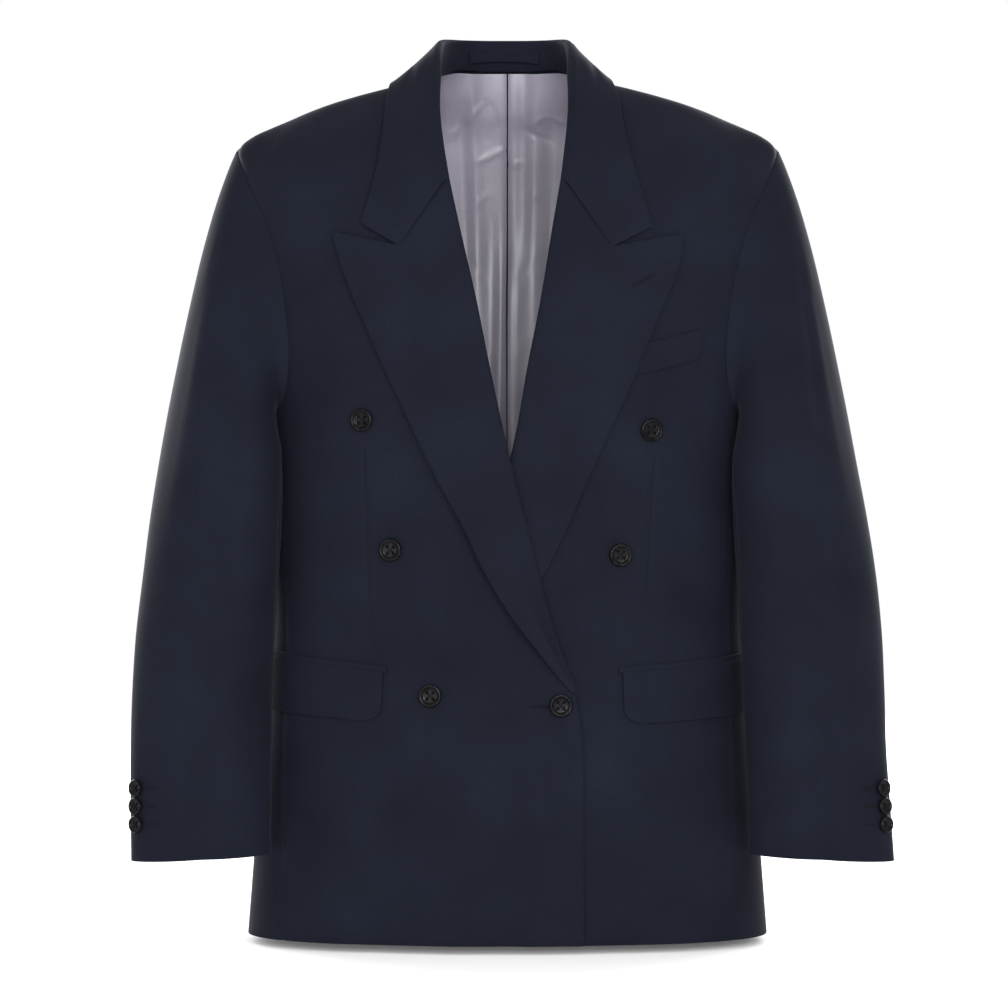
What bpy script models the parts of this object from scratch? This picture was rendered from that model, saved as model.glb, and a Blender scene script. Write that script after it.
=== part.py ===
"""Double breasted blazer, filled out as it is cut and hollow inside.

Millimetres in the tables, metres in the scene. +Z is up and the front faces -Y.
The origin is the centre of the neck, level with the neck ends of the shoulder
seams. "right" and "left" are the wearer's: the right side is at -X, and the right
front lies over the left one. "across" is a distance from the centre plane towards
a piece's own side, and "turn" is an angle round the body in degrees: 0 at the
centre front, 90 at the side and 180 at the centre back.
"""
import math

import bmesh
import bpy
from mathutils import Vector

MM = 0.001
COLLECTION = "double_breasted_blazer"

WALL = 1.6          # body cloth, with its fusible
LINING_WALL = 1.0
LINING_GAP = 2.2    # between the back and its lining
SEAM = 0.4          # left open between two pieces that are sewn edge to edge
SHOULDER_STEP = 0.15    # turn from the shoulder line to each edge of its seam
LAY = 0.7           # between a piece and the cloth that it lies on
LAPEL_LAY = 1.3     # the same, under a lapel
ROUNDNESS = 2.4     # power of the oval body rings, 2 is an ellipse
HEM = -768.0
FOLD_RADIUS = 2.3   # middle of the cloth, round a lapel's roll line
COLLAR_RADIUS = 3.0 # the same, round the collar's fold
COLLAR_BEHIND = -4.2    # middle of the collar's stand, inside the neckline
STAND_BELOW = 3.6       # how far the stand reaches down inside it
BEHIND_SLACK = 5.0      # extra room under the collar behind the shoulders
RETURN = 6.0        # lapel cloth turned in behind the front's edge
EDGE_INSET = 3.2    # from a roll line back to the edge of the front inside it

# The body's oval rings: height, half width, front depth, back depth.
BODY = [
    (34, 42, 0.5, 72), (14, 58, 0.5, 79), (0, 67.5, 1, 82), (-3, 71, 17, 83), (-9, 80, 31, 84),
    (-14, 92, 37, 86),
    (-19, 112, 42, 88), (-25, 137, 47.5, 90), (-38, 178, 56, 95), (-50, 203, 64, 99),
    (-60, 225, 71, 102), (-72, 241, 79, 105),
    (-100, 240, 92, 111), (-134, 232, 102, 117), (-181, 223, 111, 120), (-221, 218, 114, 119),
    (-256, 215, 115, 116), (-315, 212, 113, 110), (-400, 210, 107, 101), (-480, 209, 105, 101),
    (-560, 213, 107, 107), (-640, 220, 109, 110), (-768, 230, 110, 113),
]

# The armhole: angle round it from the shoulder point, with the turn that its front
# and its back edge stand away from the side.
ARMHOLE_TOP, ARMHOLE_LOW = -71.0, -315.0
ARMHOLE = [
    (0, 0, 0), (22, 11, 9), (42, 19.5, 16), (62, 25.5, 21), (84, 29, 24.5), (104, 30.4, 26.5),
    (122, 30, 27), (138, 27.5, 25.5), (152, 23, 21.5), (167, 13, 12.5), (180, 0, 0),
]

# Seams below the armhole: height, turn of the front one, turn of the back one.
SEAMS = [
    (-300, 67, 111), (-400, 66.5, 111), (-480, 66, 111), (-577, 64, 111), (-708, 57.5, 111),
    (-768, 56, 111),
]
SEAM_ROWS = [-335, -374, -415, -458, -503, -550, -600, -655, -711, HEM]
FRONT_COLUMNS = 11
EDGE_ROWS = [-0.6, -9, -24, -46, -74, -106, -152, -208, -270] + SEAM_ROWS

# The roll line and, below the last button, the front edge: height, across on the
# right front, across on the left one.
ROLL = [
    (0, 60, 56), (-40, 59, 53), (-97, 51.6, 47), (-133, 44.3, 41.2), (-159, 38.5, 36.7),
    (-193, 30.5, 31.5), (-254, 18, 19.4), (-305, 7.6, 10.8), (-336, 0.4, 4.7),
    (-383, -10.8, -8), (-436, -24.6, -22), (-483, -35, -35), (-530, -52, -50),
    (-560, -61.7, -58), (-618, -64.3, -60), (-768, -65.1, -60),
]
NECK_END = 68.0     # across, where the shoulder seam meets the neck

# Lapels: roll height, then the outer edge's across and height, right and left.
LAPEL = [
    (-152, 141, -184, 144.5, -186), (-208, 122, -230, 127.5, -227), (-270, 93.5, -293, 104, -285),
    (-335, 58, -366, 71, -359), (-374, 37.5, -405, 53, -401), (-415, 18.5, -446, 33, -443),
    (-458, -6, -487, 3, -487), (-503, -27, -515, -24, -516), (-536, -43.5, -537, -41, -537),
]
GORGE_TOP = -106.0  # height on the roll line where collar and lapel meet
# Across and height: end of the gorge seam, point of the lapel, corner of the collar.
NOTCH = {-1: (93, -164), 1: (89, -165)}
LAPEL_SAG = [1.0, 0.66, 0.28]  # how much each row still bends down as the gorge does
PEAK = {-1: (150.5, -151), 1: (151, -153)}
COLLAR_CORNER = {-1: (125.5, -143.5), 1: (124, -146.5)}

# The collar round the neck: turn round the back's neckline, or height on the front's
# edge, then across, depth and height of the fold, across of the outer edge right and
# left, its depth and height.
COLLAR_NECK = [
    (180, None, 0, 77, 37, 0, 0, 90, -10), (164, None, 21, 75, 36.8, 30, 29, 86, -10),
    (147, None, 39, 65.5, 36, 57, 50, 74, -10), (129, None, 51, 50, 34.5, 80, 67, 55, -10),
    (111, None, 58, 31, 31.5, 93, 79, 30, -11), (92, None, 60, 12, 25.5, 99, 86, 2, -12),
    (None, -9, 60.5, -10, 14, 103, 92, -26, -22), (None, -24, 60.5, -30, -5, 105.5, 97, -46, -36),
]
FOLD_SHARE = {-1: 1.0, 1: 0.9}     # the left side of the fold sits nearer the centre
# The collar down each front: height of the fold, outer edge's across and height.
COLLAR_FRONT = [(-46, 108.5, 102, -68), (-74, 113, 109.5, -98)]

# Sleeves: height, outer and inner across of the right one, then of the left one,
# depth of the centre, half depth, and how far the front end leans inwards.
SLEEVE = [
    (-352, 309, 198, 309.5, 197, -34, 68, 0.26), (-400, 315, 200, 317, 200, -44, 61, 0.23),
    (-450, 320, 202.5, 323.5, 202.5, -53, 56, 0.19), (-500, 325, 205, 327.5, 205, -60, 51, 0.15),
    (-550, 327.5, 206.5, 329, 207, -66, 46, 0.1), (-600, 328.5, 207.5, 330, 209, -70, 42, 0.06),
    (-648, 328, 207.5, 333, 211, -74, 38, 0.02), (-694, 327, 207.5, 336, 212, -77, 34, 0),
]
CUFF_DROP = 3.0         # the cuff's outer side hangs this much under its middle
CAP_STEPS = [0.05, 0.15, 0.32, 0.53, 0.76]
CAP_LEAN = 0.46         # how far a sleeve leans out as it leaves the shoulder
BODY_CLEARANCE = 5.0    # from the body to a sleeve that hangs beside it
POCKET_CLEARANCE = 9.0  # the same, past the pocket flap
FRONT_SEAM_AT = 8       # places round the sleeve, counted on its armhole points
BACK_SEAM_AT = 19
SLEEVE_TWIST = 29.0     # turn of the seams towards the front, from bicep to cuff
SLEEVE_FOLD_DEPTH = 4.0

POCKET_REAR = 76.0      # turn of the hip pockets' rear ends
JET_WIDTH = 4.6
# Hip pockets: across of the flap's front end, height of its top at the front and the
# rear, and of its lower edge at the front and the rear.
POCKETS = {-1: (108, -532, -520, -574.6, -566), 1: (99.5, -533, -523, -577, -570)}
WELT_ACROSS = (104, 167)
WELT_TOP = (-251, -234.8)
WELT_DEPTH = 25.0

# Button places: name, side of the front it is on, across (to that side), height.
FRONT_BUTTONS = [
    ("button_right_top", -1, 125.4, -313.6), ("button_right_middle", -1, 100.8, -426.3),
    ("button_right_low", -1, 66, -552.4), ("button_left_top", 1, 123.8, -322.2),
    ("button_left_middle", 1, 97.3, -430.6), ("button_fastening", -1, -45.3, -560.6),
]
FRONT_BUTTON = (20.0, 3.8)      # diameter, thickness
CUFF_BUTTON = (15.0, 3.2)
CUFF_BUTTON_HEIGHTS = {"upper": -632.0, "middle": -647.2, "lower": -662.4}
CUFF_BUTTON_AROUND = 30.0       # degrees from the sleeve's side towards its front
SHANK = 1.0                     # thread between a button and the cloth


def smooth_step(value):
    """Rise softly from 0 to 1 while value does."""
    value = min(1.0, max(0.0, value))
    return value * value * (3 - 2 * value)


def read(table, column, at):
    """Read a table's column at a place in its first column, on a smooth line."""
    rows = sorted(table, key=lambda row: row[0])
    xs = [row[0] for row in rows]
    ys = [row[column] for row in rows]
    if at <= xs[0]:
        return ys[0]
    if at >= xs[-1]:
        return ys[-1]
    steps = [(ys[i + 1] - ys[i]) / (xs[i + 1] - xs[i]) for i in range(len(xs) - 1)]

    def slope(i):
        if i in (0, len(xs) - 1):
            return steps[0] if i == 0 else steps[-1]
        before, after = steps[i - 1], steps[i]
        return 2 * before * after / (before + after) if before * after > 0 else 0.0

    i = max(k for k in range(len(xs) - 1) if xs[k] <= at)
    width = xs[i + 1] - xs[i]
    t = (at - xs[i]) / width
    start = ys[i] * (2 * t**3 - 3 * t**2 + 1) + slope(i) * width * (t**3 - 2 * t**2 + t)
    return start + ys[i + 1] * (3 * t**2 - 2 * t**3) + slope(i + 1) * width * (t**3 - t**2)


def ring_sizes(height, front):
    """Half width and depth of a body ring, with how fast each grows with height."""
    column = 2 if front else 3
    width, depth = read(BODY, 1, height), read(BODY, column, height)
    width_growth = (read(BODY, 1, height + 1) - read(BODY, 1, height - 1)) / 2
    depth_growth = (read(BODY, column, height + 1) - read(BODY, column, height - 1)) / 2
    return width, depth, width_growth, depth_growth


def on_body(turn, height, out=0.0):
    """Point on the body's inner face, moved out along its normal. -turn is the right side."""
    sine, cosine = math.sin(math.radians(turn)), math.cos(math.radians(turn))
    width, depth, width_growth, depth_growth = ring_sizes(height, cosine >= 0)
    sides = math.copysign(1, sine), -math.copysign(1, cosine)
    sine, cosine = abs(sine), abs(cosine)
    power = 2 / ROUNDNESS
    point = Vector((sides[0] * width * sine**power, sides[1] * depth * cosine**power, height))
    normal = Vector((sides[0] * sine ** (2 - power) / width,
                     sides[1] * cosine ** (2 - power) / depth,
                     -(sine**2 * width_growth / width + cosine**2 * depth_growth / depth)))
    return point + normal.normalized() * out


def turn_at(across, height):
    """Turn on the front where the body is this far across."""
    share = min(1.0, abs(across) / read(BODY, 1, height))
    return math.copysign(math.degrees(math.asin(share ** (ROUNDNESS / 2))), across)


def overlap_lift(point):
    """How far the right front rides out over the left front and its lapel."""
    over = smooth_step((point.x + 105) / 60)
    started = smooth_step((-215 - point.z) / 110)
    over_lapel = smooth_step((point.z + 610) / 56)
    return over * started * (3.4 + 4.4 * over_lapel)


def on_front(side, across, height, out=0.0):
    """Point on a front, by its distance across and its height."""
    turn = turn_at(side * across, height)
    if side < 0:
        out += overlap_lift(Vector((side * across, 0, height)))
    return on_body(turn, height, out)


def off_body(point):
    """Distance of a point near the body from it, and the way straight out there."""
    width, depth, width_growth, depth_growth = ring_sizes(point.z, point.y < 0)
    x_share, y_share = abs(point.x) / width, abs(point.y) / depth
    total = x_share**ROUNDNESS + y_share**ROUNDNESS
    x_part = x_share ** (ROUNDNESS - 1) / width
    y_part = y_share ** (ROUNDNESS - 1) / depth
    slope = Vector((math.copysign(x_part, point.x), math.copysign(y_part, point.y),
                    -x_part * x_share * width_growth - y_part * y_share * depth_growth))
    slope *= total ** (1 / ROUNDNESS - 1)
    return (total ** (1 / ROUNDNESS) - 1) / slope.length, slope.normalized()


def settle(point, out):
    """Move a point in or out until it stands this far off the body."""
    for _ in range(16):
        distance, direction = off_body(point)
        if abs(out - distance) < 0.01:
            break
        point = point + direction * (out - distance) * 0.9
    return point


def clear(point, out, side=0):
    """Settle a point only if it stands closer to the body than this."""
    if side < 0:
        out += overlap_lift(point)
    return settle(point, out) if off_body(point)[0] < out else point


def armhole_turn_height(angle):
    """Turn and height of the armhole's edge; 0 to 180 is its front half."""
    middle, half = (ARMHOLE_TOP + ARMHOLE_LOW) / 2, (ARMHOLE_TOP - ARMHOLE_LOW) / 2
    front = angle <= 180
    away = read(ARMHOLE, 1, angle) if front else -read(ARMHOLE, 2, 360 - angle)
    return 90 - away, middle + half * math.cos(math.radians(angle))


# The armhole's points, which the body panels and the sleeve share: down its front
# edge, under the arm, and up its back edge.
FRONT_ANGLES = [0, 22, 42, 62, 84, 104, 122, 138, 152]
UNDER_ANGLES = [152, 164, 176, 188, 200, 211]
BACK_ANGLES = [211, 226, 242, 259, 279, 299, 319, 339, 360]
ARM_ANGLES = FRONT_ANGLES + UNDER_ANGLES[1:] + BACK_ANGLES[1:-1]


def make_material(name, colour, roughness, sheen=0.0):
    """Principled material; the colour is linear."""
    material = bpy.data.materials.new(name)
    material.use_nodes = True
    shader = material.node_tree.nodes["Principled BSDF"]
    shader.inputs["Base Color"].default_value = (*colour, 1)
    shader.inputs["Roughness"].default_value = roughness
    shader.inputs["Metallic"].default_value = 0.0
    shader.inputs["Sheen Weight"].default_value = sheen
    material.diffuse_color = (*colour, 1)
    return material


def add_object(name, mesh, material):
    """Put a mesh in the blazer's collection."""
    mesh.materials.append(material)
    made = bpy.data.objects.new(name, mesh)
    bpy.data.collections[COLLECTION].objects.link(made)
    return made


def sheet(name, rows, material, wall=WALL, offset=1.0, flip=False):
    """Loft a cloth sheet through rows of points and give it a wall.

    Rows run down the piece and each goes from the centre front towards the left side
    or on to the back, so that the wall grows outwards.
    """
    bm = bmesh.new()
    grid = [[bm.verts.new(point * MM) for point in row] for row in rows]
    for upper, lower in zip(grid, grid[1:]):
        for i in range(len(upper) - 1):
            corners = (upper[i], lower[i], lower[i + 1], upper[i + 1])
            bm.faces.new(reversed(corners) if flip else corners)
    mesh = bpy.data.meshes.new(name)
    bm.to_mesh(mesh)
    bm.free()
    made = add_object(name, mesh, material)
    solid = made.modifiers.new("wall", "SOLIDIFY")
    solid.thickness = wall * MM
    solid.offset = offset
    solid.use_even_offset = True
    solid.use_quality_normals = True
    return made


def between(start, end, count):
    """Evenly spaced numbers or points from start to end."""
    return [start + (end - start) * i / (count - 1) for i in range(count)]


def front_edge(side, height):
    """Across of a front's own edge: inside the roll line, and free below it."""
    roll = read(ROLL, 1 if side < 0 else 2, height)
    inset = EDGE_INSET * smooth_step((height + 566) / 14)
    neck = (NECK_END - EDGE_INSET - read(ROLL, 1 if side < 0 else 2, 0))
    return roll + inset + neck * smooth_step((height + 62) / 62) ** 1.4


def seam_shift(turn, height, gap):
    """Turn by which a seam's edge steps back to leave its share of the gap."""
    reach = (on_body(turn + 1, height) - on_body(turn, height)).length
    return gap / 2 / reach


def front_rows(side):
    """A front: shoulder seam, armhole and side seam on one edge, roll line on the other."""
    outer = [armhole_turn_height(angle) for angle in FRONT_ANGLES]
    outer[0] = (outer[0][0] - SHOULDER_STEP, outer[0][1])
    outer += [(read(SEAMS, 1, height), height) for height in SEAM_ROWS]
    last_arm = len(FRONT_ANGLES) - 1
    rows = []
    for i, (outer_turn, outer_height) in enumerate(outer):
        if i >= last_arm:
            outer_turn -= seam_shift(outer_turn, outer_height, SEAM)
        height = EDGE_ROWS[i]
        edge_turn = turn_at(front_edge(side, height), height)
        if i == 0:
            edge_turn = outer_turn
        row = []
        for share in between(0.0, 1.0, FRONT_COLUMNS):
            turn = edge_turn + (outer_turn - edge_turn) * share
            z = height + (outer_height - height) * share
            lift = overlap_lift(on_body(-turn, z)) if side < 0 else 0.0
            point = on_body(turn, z, lift)
            row.append(Vector((side * point.x, point.y, point.z)))
        rows.append(row)
    return rows


def side_rows(side):
    """The side panel, from the front seam to the back seam, with the armhole's foot on top."""
    top = [armhole_turn_height(angle) for angle in UNDER_ANGLES]
    heights = [None] + SEAM_ROWS
    rows = []
    for i, height in enumerate(heights):
        row = []
        for k, (top_turn, top_height) in enumerate(top):
            share = k / (len(top) - 1)
            level = height if height is not None else top_height
            start = read(SEAMS, 1, level) if i else top[0][0]
            end = read(SEAMS, 2, level) if i else top[-1][0]
            start += seam_shift(start, level, SEAM)
            end -= seam_shift(end, level, SEAM)
            even = start + (end - start) * share
            turn = top_turn if i == 0 and 0 < k < len(top) - 1 else even
            point = on_body(turn, level)
            row.append(Vector((side * point.x, point.y, point.z)))
        rows.append(row)
    return rows


def neckline_height(turn):
    """Height of the back neck's seam, which rises to the centre back."""
    return 13 * smooth_step((turn - 90) / 48)


def back_rows(side, out=0.0, columns=12):
    """A back half, from its side seam to the centre back seam."""
    outer = [armhole_turn_height(angle) for angle in reversed(BACK_ANGLES)]
    outer[0] = (outer[0][0] + SHOULDER_STEP, outer[0][1])
    outer += [(read(SEAMS, 2, height), height) for height in SEAM_ROWS]
    last_arm = len(BACK_ANGLES) - 1
    centre_heights = [13, -10, -38, -70, -106, -146, -188, -230, -276] + SEAM_ROWS
    neck_share = 5 / 11
    seam_turn = 90 + SHOULDER_STEP
    rows = []
    for i, (outer_turn, outer_height) in enumerate(outer):
        if i >= last_arm:
            outer_turn += seam_shift(outer_turn, outer_height, SEAM)
        height = centre_heights[i]
        centre_turn = 180 - turn_at(SEAM / 2, height)
        shoulder_pull = (1 - i / last_arm) ** 2.2 if i < last_arm else 0.0
        row = []
        for share in between(0.0, 1.0, columns):
            turn = outer_turn + (centre_turn - outer_turn) * share
            z = outer_height + (height - outer_height) * share
            point = on_body(turn, z, out)
            if share >= 1 - neck_share:
                along = (1 - share) / neck_share
                top_turn = centre_turn + (seam_turn - centre_turn) * along
                top_height = neckline_height(top_turn)
            else:
                along = share / (1 - neck_share)
                top_turn, top_height = seam_turn, ARMHOLE_TOP * (1 - along) - 0.2
            straight_turn = outer[0][0] + (centre_turn - outer[0][0]) * share
            straight_height = outer[0][1] + (centre_heights[0] - outer[0][1]) * share
            pull = on_body(top_turn, top_height) - on_body(straight_turn, straight_height)
            if i == 0:
                point = on_body(top_turn, top_height, out)
            elif shoulder_pull > 0.01:
                point = settle(point + pull * shoulder_pull, out)
            row.append(Vector((side * point.x, point.y, point.z)))
        rows.append(row)
    return rows


def lining_rows(side):
    """The back's lining: the back's own points, moved in, from under the collar down."""
    rows = [row[1:] for row in back_rows(side, -LINING_GAP - LINING_WALL)]
    neck = [upper + (lower - upper) * (0.22 if k > 5 else 0.45)
            for k, (upper, lower) in enumerate(zip(rows[0], rows[1]))]
    foot = [(upper + lower) / 2 for upper, lower in zip(rows[-2], rows[-1])]
    return [neck] + rows[1:7] + rows[7:-1:2] + [foot]


def turned_over(inner, fold, edge_path, away, up, lie, side, steps, stand=False):
    """Section of a collar or lapel: up inside the edge, round the fold, out to its edge."""
    radius = COLLAR_RADIUS if stand else FOLD_RADIUS
    centre = fold - up * radius
    inside = centre - away * radius
    outside = centre + away * radius
    section = [inner]
    if stand:
        section.append((inner + inside) / 2)
    section += [inside, fold, outside]
    path = [outside] + edge_path
    lengths = [(b - a).length for a, b in zip(path, path[1:])]
    for share in between(0.0, 1.0, steps + 1)[1:]:
        if len(path) == 3:
            piece = 0 if share <= 0.5 else 1
            part = share * 2 - piece
        else:
            piece, part = 0, share
        point = path[piece] + (path[piece + 1] - path[piece]) * part
        section.append(clear(point, lie(share), side))
    return section


def roll_section(side, height, edge_points, lie, steps, stand=False):
    """Section of a lapel, or of the collar where it lies on a front."""
    roll = read(ROLL, 1 if side < 0 else 2, height)
    edge = front_edge(side, height)
    behind = COLLAR_BEHIND if stand else -LAY - WALL / 2
    inner = on_front(side, edge + RETURN, height, behind)
    mid = WALL / 2
    fold = on_front(side, roll + WALL / 2, height, mid)
    rest = on_front(side, roll + 20, height, mid)
    up = (fold - rest).normalized()
    out = on_front(side, roll, height, mid + 1) - on_front(side, roll, height, mid)
    away = (out - up * out.dot(up)).normalized()
    path = [on_front(side, across, z, lie(1.0)) for across, z in edge_points]
    return turned_over(inner, fold, path, away, up, lie, side, steps, stand)


def lapel_lie(height):
    """How high a lapel's middle stands off the body: it floats a little at its edge."""
    float_up = 2.6 * smooth_step((height + 330) / 60)
    return lambda share: WALL * 1.5 + LAPEL_LAY + float_up * share


def lapel_rows(side):
    """A lapel, from the gorge down to the end of the roll line."""
    columns = (1, 2) if side < 0 else (3, 4)
    gap = SEAM
    start = GORGE_TOP - 1.5 * gap
    notch, peak = NOTCH[side], PEAK[side]
    top = [(notch[0], notch[1] - gap), (peak[0], peak[1])]
    rows = [roll_section(side, start, top, lapel_lie(start), 8)]
    roll = read(ROLL, 1 if side < 0 else 2, start)
    bend = notch[0] - (roll + peak[0]) / 2, notch[1] - (start + peak[1]) / 2
    for i, row in enumerate(LAPEL, start=1):
        edge = row[columns[0]], row[columns[1]]
        sag = LAPEL_SAG[i] if i < len(LAPEL_SAG) else 0.0
        roll = read(ROLL, 1 if side < 0 else 2, row[0])
        middle = (roll + edge[0]) / 2 + bend[0] * sag, (row[0] + edge[1]) / 2 + bend[1] * sag
        rows.append(roll_section(side, row[0], [middle, edge], lapel_lie(row[0]), 8))
    return rows


def collar_lie(share):
    """How high the collar's middle stands off the fronts, down to the gorge."""
    return WALL * 1.5 + LAY + 2.6 + 0.8 * share


def neck_lie(depth):
    """The same round the neck: closer over the shoulders, and looser behind them."""
    slack = 1.2 + BEHIND_SLACK * smooth_step((depth + 5) / 30)
    return lambda share: WALL * 1.5 + LAY + slack + 0.6 * share


def collar_half(side):
    """The collar's sections from the centre back to the gorge."""
    sections = []
    for turn, height, fx, fy, fz, right_edge, left_edge, ey, ez in COLLAR_NECK:
        if height is None:
            height = neckline_height(turn)
        else:
            turn = turn_at(front_edge(side, height), height)
        seam = on_body(turn, height)
        away = on_body(turn, height, 1) - seam
        away.z = 0
        inner = seam + away.normalized() * COLLAR_BEHIND - Vector((0, 0, STAND_BELOW))
        inner.x *= side
        fold = Vector((side * fx * FOLD_SHARE[side], fy, fz))
        edge = Vector((side * (right_edge if side < 0 else left_edge), ey, ez))
        lie = neck_lie(fy)
        edge = clear(edge, lie(1.0))
        up = (fold - (inner + edge) / 2).normalized()
        out = edge - inner
        away = (out - up * out.dot(up)).normalized()
        sections.append(turned_over(inner, fold, [edge], away, up, lie, 0, 6, True))
    for height, right_edge, left_edge, edge_height in COLLAR_FRONT:
        edge = (right_edge if side < 0 else left_edge, edge_height)
        sections.append(roll_section(side, height, [edge], collar_lie, 6, True))
    notch, corner = NOTCH[side], COLLAR_CORNER[side]
    last = [(notch[0], notch[1] + 3.5 * SEAM), corner]
    sections.append(roll_section(side, GORGE_TOP + 1.5 * SEAM, last, collar_lie, 6, True))
    return sections


def collar_rows():
    """The whole collar, from the right gorge round the neck to the left one."""
    right, left = collar_half(-1), collar_half(1)
    return list(reversed(right)) + left[1:]


def arm_centre(side, height):
    """Centre, half width, half depth and lean of the sleeve's ring at a height."""
    outer = read(SLEEVE, 1 if side < 0 else 3, height)
    inner = read(SLEEVE, 2 if side < 0 else 4, height)
    depth, lean = read(SLEEVE, 6, height), read(SLEEVE, 7, height)
    half = math.sqrt(max(100.0, ((outer - inner) / 2) ** 2 - (lean * depth) ** 2))
    return (outer + inner) / 2, read(SLEEVE, 5, height), half, depth, lean


def sleeve_ring(side, height, angle):
    """Point of a hanging sleeve ring: 0 is its outer side, 90 its front, 180 its inner side."""
    across, centre_depth, half, depth, lean = arm_centre(side, height)
    cosine, sine = math.cos(math.radians(angle)), math.sin(math.radians(angle))
    fold = SLEEVE_FOLD_DEPTH * math.exp(-(((angle - 88) / 15) ** 2))
    point = Vector((across + half * cosine - lean * depth * sine,
                    centre_depth - (depth - fold) * sine, height))
    point.z -= CUFF_DROP * cosine * smooth_step((-height - 575) / 119)
    needed = POCKET_CLEARANCE if -640 < height < -480 else BODY_CLEARANCE
    point = clear(point, WALL + needed)
    point.x *= side
    return point


def sleeve_rows(side):
    """A whole sleeve as rings of points, from the armhole to the cuff."""
    starts, leaves, ends, settles = [], [], [], []
    for angle in ARM_ANGLES:
        turn, height = armhole_turn_height(angle)
        edge = on_body(turn, height)
        normal = (on_body(turn, height, 1) - edge).normalized()
        end = sleeve_ring(1, SLEEVE[0][0], angle)
        reach = (end - edge).length
        lateral = Vector((1, 0, 0))
        lateral = (lateral - normal * lateral.dot(normal) * 0.6).normalized()
        under = smooth_step((-math.cos(math.radians(angle)) - 0.2) / 0.7)
        leave = lateral * (0.52 + 0.3 * under) + normal * 0.3 + Vector((0, 0, -0.62 * (1 - under)))
        hanging = Vector((CAP_LEAN, 0.3 * normal.y, -1)).normalized()
        leave = leave.normalized().lerp(hanging, smooth_step(math.cos(math.radians(angle))))
        leave = leave.normalized() * reach * 0.85
        starts.append((edge, normal))
        leaves.append(leave)
        ends.append(end)
        onward = sleeve_ring(1, SLEEVE[1][0], angle) - end
        settles.append(onward.normalized() * reach * 0.9)
    count = len(ARM_ANGLES)
    rings = [[] for _ in range(len(CAP_STEPS) + 1)]
    for i, angle in enumerate(ARM_ANGLES):
        edge, normal = starts[i]
        tangent = (starts[(i + 1) % count][0] - starts[i - 1][0]).normalized()
        into_hole = normal.cross(tangent).normalized()
        if into_hole.x < 0:
            into_hole = -into_hole
        outward = tangent.cross(leaves[i]).normalized()
        if outward.dot(normal) < 0:
            outward = -outward
        start = edge + into_hole * (SEAM + WALL * max(0.0, -outward.dot(into_hole)) + 0.3)
        rings[0].append(start)
        for k, t in enumerate(CAP_STEPS):
            point = (start * (2 * t**3 - 3 * t**2 + 1) + leaves[i] * (t**3 - 2 * t**2 + t)
                     + ends[i] * (3 * t**2 - 2 * t**3) + settles[i] * (t**3 - t**2))
            if 84 < angle < 270:
                near = BODY_CLEARANCE * smooth_step(t / 0.6) + 2 * SEAM
                point = clear(point, near + WALL)
            rings[k + 1].append(point)
    rings = [[Vector((side * p.x, p.y, p.z)) for p in ring] for ring in rings]
    for row in SLEEVE:
        twist = SLEEVE_TWIST * smooth_step((-row[0] - 350) / 250)
        rings.append([sleeve_ring(side, row[0], angle + twist) for angle in ARM_ANGLES])
    return rings


def sleeve_piece(side, first, last):
    """The part of a sleeve between two of its lengthwise seams, going round it."""
    rows = []
    for ring in sleeve_rows(side):
        count = len(ring)
        row = [ring[k % count] for k in range(first, last + 1)]
        for end, beside in ((0, 1), (-1, -2)):
            along = row[beside] - row[end]
            row[end] = row[end] + along.normalized() * SEAM / 2
        rows.append(row)
    return rows


def flap_rows(side, front_across, top_front, top_rear, low_front, low_rear):
    """A pocket flap: straight on top, rounded at its lower corners."""
    columns = [0.0, 0.04, 0.12, 0.3, 0.5, 0.7, 0.88, 0.96, 1.0]
    corner = 12.0
    start = turn_at(front_across, top_front)
    rows = []
    for down in (0.0, 0.35, 0.7, 0.87, 1.0):
        row = []
        for share in columns:
            turn = start + (POCKET_REAR - start) * share
            top = top_front + (top_rear - top_front) * share
            low = low_front + (low_rear - low_front) * share
            reach = min(share, 1 - share) * 110 / corner
            lifted = corner * (1 - math.sqrt(1 - (1 - min(1.0, reach)) ** 2))
            point = on_body(turn, top + (low + lifted - top) * down, WALL + 2 * LAY)
            row.append(Vector((side * point.x, point.y, point.z)))
        rows.append(row)
    return rows


def jet_rows(side, front_across, top_front, top_rear):
    """The jetted edge just above a flap, which runs a little past its front end."""
    start = turn_at(front_across, top_front)
    rows = []
    for rise in (JET_WIDTH + SEAM, SEAM):
        row = []
        for share in between(-0.02, 1.0, 8):
            turn = start + (POCKET_REAR - start) * share
            height = top_front + (top_rear - top_front) * share + rise
            point = on_body(turn, height, WALL + LAY)
            row.append(Vector((side * point.x, point.y, point.z)))
        rows.append(row)
    return rows


def welt_rows():
    """The breast pocket's welt, on the left front."""
    first, last = turn_at(WELT_ACROSS[0], WELT_TOP[0]), turn_at(WELT_ACROSS[1], WELT_TOP[1])
    rows = []
    for drop in between(0.0, WELT_DEPTH, 3):
        row = []
        for share in between(0.0, 1.0, 5):
            height = WELT_TOP[0] + (WELT_TOP[1] - WELT_TOP[0]) * share - drop
            row.append(on_body(first + (last - first) * share, height, WALL + LAY))
        rows.append(row)
    return rows


def hanger_loop_rows():
    """The hanging loop, a band that stands off the collar's inside at its middle."""
    rows = []
    for drop in (0.0, 1.0):
        row = []
        for share in between(-1.0, 1.0, 13):
            across = -3 + 31 * share
            bow = 1 - share**2
            top, low = 25 - 1.5 * bow, 15 + 3 * bow
            depth = 71.6 - 0.0084 * across**2 - 1.4 * bow
            row.append(Vector((across, depth, top + (low - top) * drop)))
        rows.append(row)
    return rows


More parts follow.
